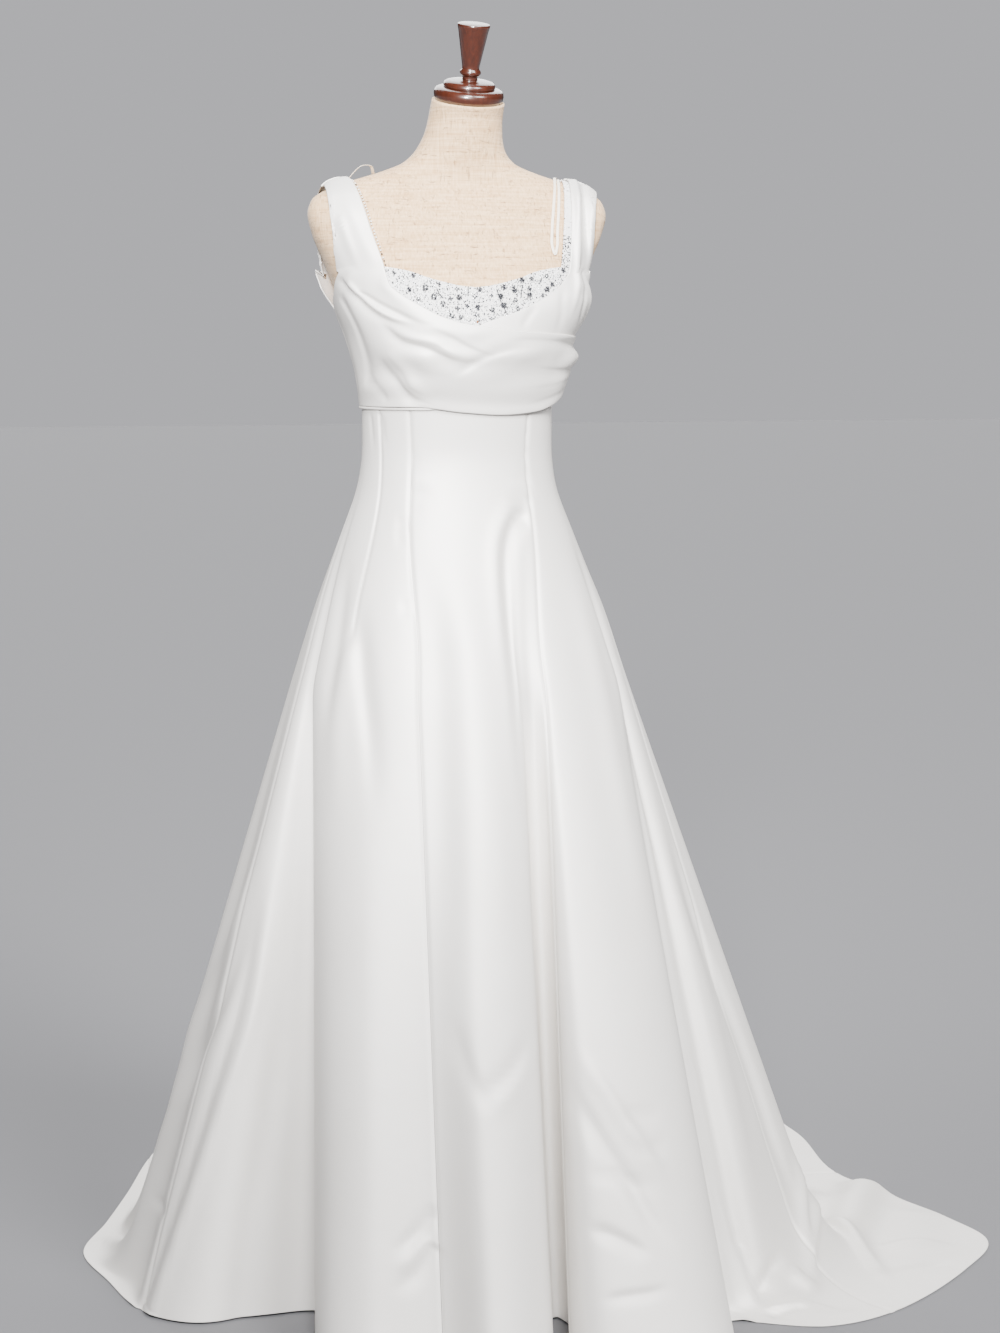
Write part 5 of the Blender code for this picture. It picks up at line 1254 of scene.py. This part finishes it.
def turnedPiece(name, profile, seat):
    # a ring is drawn out along the profile as on a lathe, and its two ends are filled
    bpy.ops.object.select_all(action="DESELECT")
    radius, height = profile[0]
    bpy.ops.mesh.primitive_circle_add(vertices=lathe["sides"], radius=radius, fill_type="NOTHING",
                                      location=(0, 0, seat + height))
    made = bpy.context.active_object
    made.name = made.data.name = name
    bpy.ops.object.transform_apply(location=True, rotation=False, scale=False)
    bpy.ops.object.mode_set(mode="EDIT")
    bpy.ops.mesh.select_all(action="SELECT")
    bpy.ops.mesh.edge_face_add()
    for (r0, z0), (r1, z1) in zip(profile, profile[1:]):
        bpy.ops.mesh.extrude_region_move(TRANSFORM_OT_translate={"value": (0, 0, z1 - z0)})
        bpy.ops.transform.resize(value=(r1 / r0, r1 / r0, 1), center_override=(0, 0, seat + z1))
    bpy.ops.mesh.select_all(action="SELECT")
    bpy.ops.mesh.normals_make_consistent(inside=False)
    bpy.ops.object.mode_set(mode="OBJECT")
    bpy.ops.object.shade_smooth_by_angle(angle=math.radians(40))
    middle = np.array([body["neckAside"], body["sections"][-1][5], 0.0])
    points = neckLean([np.array(v.co) + middle for v in made.data.vertices])
    for vertex, point in zip(made.data.vertices, points):
        vertex.co = point
    made.data.update()
    return made


turnedPieces = {}
level = lathe["seat"]
for name in ("neck_cap_disc", "neck_cap_step", "neck_handle"):
    turnedPieces[name] = turnedPiece(name + "_turned", lathe[name], level)
    level += lathe[name][-1][1] + 0.0003
print("form and turned pieces made")


# Duchess satin, woven silk: close and heavy, with a soft broad sheen and a faint crosswise rib.
satinLook = {"colour": "#EDEAE6", "shade": "#E3DFDA", "rough": 0.54, "lustre": 0.24,
             "ribEvery": 0.0011, "ribDepth": 0.10}


def noiseNode(tree, source, output, scale, detail, **more):
    return addNode(tree, "ShaderNodeTexNoise", inputs={"Scale": scale, "Detail": detail, **more},
                   Vector=(source, output))


def stretched(tree, place, output, *scale):
    return addNode(tree, "ShaderNodeMapping", inputs={"Scale": scale}, Vector=(place, output))


def tintNode(tree, mask, output, low, high):
    return addNode(tree, "ShaderNodeMixRGB", Fac=(mask, output),
                   inputs={"Color1": linearColour(low), "Color2": linearColour(high)})


def bumpNode(tree, source, output, strength, depth, **links):
    return addNode(tree, "ShaderNodeBump", inputs={"Strength": strength, "Distance": depth},
                   Height=(source, output), **links)


def finishNodes(tree, shader, tint, bump):
    tree.links.new(tint.outputs["Color"], shader.inputs["Base Color"])
    tree.links.new(bump.outputs["Normal"], shader.inputs["Normal"])


def satinMaterial(name, look):
    made, tree, shader = newMaterial(name, Roughness=look["rough"], Metallic=look["lustre"], IOR=1.5)
    place = addNode(tree, "ShaderNodeTexCoord")
    cloud = noiseNode(tree, place, "Object", 9.0, 3.0, Roughness=0.55)
    tint = tintNode(tree, cloud, "Fac", look["shade"], look["colour"])
    ribs = stretched(tree, place, "UV", 60.0, 1 / look["ribEvery"], 1.0)
    rib = noiseNode(tree, ribs, "Vector", 1.0, 2.0)
    dents = noiseNode(tree, place, "Object", 26.0, 2.0, Roughness=0.5)
    dented = bumpNode(tree, dents, "Fac", 0.10, 0.004)
    ribbed = bumpNode(tree, rib, "Fac", look["ribDepth"], 0.0004, Normal=(dented, "Normal"))
    finishNodes(tree, shader, tint, ribbed)
    return made


satin = satinMaterial("ivory_duchess_satin", satinLook)

# Undyed linen, plain woven: matt, with uneven threads and brown flecks of flax.
linenLook = {"colour": "#E5C49A", "warp": "#C39C70", "fleck": "#74563A", "threadEvery": 0.0014,
             # slubs, then flecks: stretch, detail, roughness, and how strongly they tint
             "marks": (((280.0, 280.0, 45.0), 2.0, 0.6, 0.55), ((60.0, 60.0, 260.0), 3.0, 0.7, 0.8))}


def linenMaterial():
    made, tree, shader = newMaterial("woven_linen", Roughness=0.88, IOR=1.45, Sheen_Weight=0.15)
    place = addNode(tree, "ShaderNodeTexCoord")
    fine = 1 / linenLook["threadEvery"]
    threads = [noiseNode(tree, stretched(tree, place, "Object", *scale), "Vector", 0.6, 2.0)
               for scale in ((fine, fine, 30.0), (30.0, 30.0, fine))]
    both = addNode(tree, "ShaderNodeMath", {"operation": "ADD"}, n0=(threads[0], "Fac"),
                   n1=(threads[1], "Fac"))
    spread = addNode(tree, "ShaderNodeMapRange", inputs={"From Min": 0.7, "From Max": 1.3},
                     Value=(both, "Value"))
    tint = tintNode(tree, spread, "Result", linenLook["warp"], linenLook["colour"])
    for scale, detail, rough, strength in linenLook["marks"]:
        marks = noiseNode(tree, stretched(tree, place, "Object", *scale), "Vector", 1.0, detail,
                          Roughness=rough)
        mask = addNode(tree, "ShaderNodeMapRange", Value=(marks, "Fac"),
                       inputs={"From Min": 0.60, "From Max": 0.70, "To Max": strength})
        tint = addNode(tree, "ShaderNodeMixRGB", inputs={"Color2": linearColour(linenLook["fleck"])},
                       Fac=(mask, "Result"), Color1=(tint, "Color"))
    finishNodes(tree, shader, tint, bumpNode(tree, both, "Value", 0.35, 0.0006))
    return made


linen = linenMaterial()

# Mahogany, turned and varnished: dark red-brown grain under a clear gloss.
woodLook = {"dark": "#1E0C07", "light": "#4C2010", "grainEvery": 0.003}


def mahoganyMaterial():
    made, tree, shader = newMaterial("varnished_mahogany", Roughness=0.32, IOR=1.5, Coat_Weight=0.8,
                                     Coat_Roughness=0.08)
    place = addNode(tree, "ShaderNodeTexCoord")
    fine = 1 / woodLook["grainEvery"]
    stretch = stretched(tree, place, "Object", fine, fine, 25.0)
    grain = noiseNode(tree, stretch, "Vector", 1.0, 5.0, Distortion=0.6)
    tint = tintNode(tree, grain, "Fac", woodLook["dark"], woodLook["light"])
    finishNodes(tree, shader, tint, bumpNode(tree, grain, "Fac", 0.08, 0.0004))
    return made


mahogany = mahoganyMaterial()


def plainBumped(name, colour, low, scale, depth, **sockets):
    # an even finish whose colour and surface wander a little, at the given scale
    made, tree, shader = newMaterial(name, **sockets)
    noise = noiseNode(tree, addNode(tree, "ShaderNodeTexCoord"), "Object", scale, 3.0)
    tint = tintNode(tree, noise, "Fac", low, colour)
    finishNodes(tree, shader, tint, bumpNode(tree, noise, "Fac", 0.3, depth))
    return made


# Nylon tulle under the beads: matt white with a fine open texture
tulle = plainBumped("white_tulle", "#F4F3F1", "#D8D7D6", 900.0, 0.0004, Roughness=0.75, IOR=1.5)
# Glass pearls: ivory with a soft glow
pearl = plainBumped("glass_pearl", "#F4F2EE", "#DEDCD9", 400.0, 0.0001, Roughness=0.22, IOR=1.55,
                    Coat_Weight=0.5, Coat_Roughness=0.1)
# Cut crystal: pale and sharp, silvered behind
crystal = plainBumped("silvered_crystal", "#E6E7E8", "#B9BBBF", 600.0, 0.0001, Roughness=0.12,
                      Metallic=0.65)
# Gunmetal glass seed beads: dark grey mirror
gunmetal = plainBumped("gunmetal_glass", "#64656A", "#323338", 600.0, 0.0001, Roughness=0.25,
                       Metallic=0.8)
# One amber glass bead: brown and glossy
amber = plainBumped("amber_glass", "#9A6A48", "#6E4429", 500.0, 0.0001, Roughness=0.15, IOR=1.55)
# Woven nylon ribbon: cream and smooth
ribbon = plainBumped("cream_ribbon", "#F4EBDC", "#E5D8C4", 300.0, 0.0001, Roughness=0.4, IOR=1.5,
                     Sheen_Weight=0.2)
# Brushed steel tube: fine scratches round it
steel = plainBumped("brushed_steel", "#B9BABC", "#98999B", 120.0, 0.0001, Roughness=0.3,
                    Metallic=1.0)

for piece in loopPieces:
    finished(piece, ribbon, "ribbon")
for goreName, piece in skirtPieces.items():
    finished(piece, satin, "satin", goreName)
for name, piece in bodicePieces.items():
    finished(piece, satin, "satin", name)
finished(pipingPiece, satin, "satin", "empire_piping")
finished(beadedBodice, tulle, "beading", "beaded_bodice")
for name, piece in strapNets.items():
    finished(piece, tulle, "beading", name)
finished(pearlBeads, pearl, "beading")
finished(crystalBeads, crystal, "beading")
finished(silverBeads, gunmetal, "beading")
finished(amberBead, amber, "beading")
finished(formPiece, linen, "linen", "form_torso")
for name, piece in turnedPieces.items():
    finished(piece, mahogany, "mahogany", name)
for name, finish in (("stand_base", mahogany), ("stand_pole", steel)):
    nodes[name].data.materials.clear()
    nodes[name].data.materials.append(finish)

print("finishes set")


stageLook = {"floor": "#717174", "air": "#BDBDC1", "fill": 0.19, "backdrop": "#C2C2C6"}

bpy.ops.object.select_all(action="DESELECT")
bpy.ops.mesh.primitive_plane_add(size=60, location=(0, 0, -0.0005))
floor = bpy.context.active_object
floor.name = "floor"
floorMaterial, tree, shader = newMaterial("pale_floor", Roughness=0.9)
shader.inputs["Base Color"].default_value = linearColour(stageLook["floor"])
floor.data.materials.append(floorMaterial)

# The backdrop that the camera sees is plain and pale, and the air's own light is softer than it.
world = bpy.data.worlds.new("studio")
world.use_nodes = True
tree = world.node_tree
tree.nodes.clear()
backdrop = addNode(tree, "ShaderNodeBackground",
                   inputs={"Color": linearColour(stageLook["backdrop"])})
air = addNode(tree, "ShaderNodeBackground", inputs={"Color": linearColour(stageLook["air"]),
                                                    "Strength": stageLook["fill"]})
rays = addNode(tree, "ShaderNodeLightPath")
either = addNode(tree, "ShaderNodeMixShader", Fac=(rays, "Is Camera Ray"), n1=(air, "Background"),
                 n2=(backdrop, "Background"))
addNode(tree, "ShaderNodeOutputWorld", Surface=(either, "Shader"))
bpy.context.scene.world = world

lights = {
    # how far round from the front, how high, strength, how soft in degrees
    "left_window": (-8, 40, 5.3, 16),
    "right_window": (28, 34, 3.6, 26),
    "behind": (172, 40, 3.4, 60),
}
for name, (around, high, strength, soft) in lights.items():
    light = bpy.data.lights.new(name, "SUN")
    light.energy, light.angle = strength, math.radians(soft)
    lamp = bpy.data.objects.new(name, light)
    turn, rise = math.radians(around), math.radians(high)
    level = math.cos(rise)
    towards = Vector((math.sin(turn) * level, -math.cos(turn) * level, math.sin(rise)))
    lamp.rotation_euler = towards.to_track_quat("Z", "Y").to_euler()
    lamp.location = towards * 4
    bpy.context.scene.collection.objects.link(lamp)

# a wide soft lamp on the bodice
bodiceLamp = {"place": (-1.00, -3.20, 2.35), "at": (0.03, 0.0, 1.27), "power": 1750.0, "cone": 34,
              "size": 0.30}
light = bpy.data.lights.new("bodice_lamp", "SPOT")
light.energy, light.spot_blend = bodiceLamp["power"], 1.0
light.spot_size = math.radians(bodiceLamp["cone"])
light.shadow_soft_size = bodiceLamp["size"]
lamp = bpy.data.objects.new("bodice_lamp", light)
lamp.location = bodiceLamp["place"]
towards = Vector(bodiceLamp["place"]) - Vector(bodiceLamp["at"])
lamp.rotation_euler = towards.to_track_quat("Z", "Y").to_euler()
bpy.context.scene.collection.objects.link(lamp)
print("stage set")
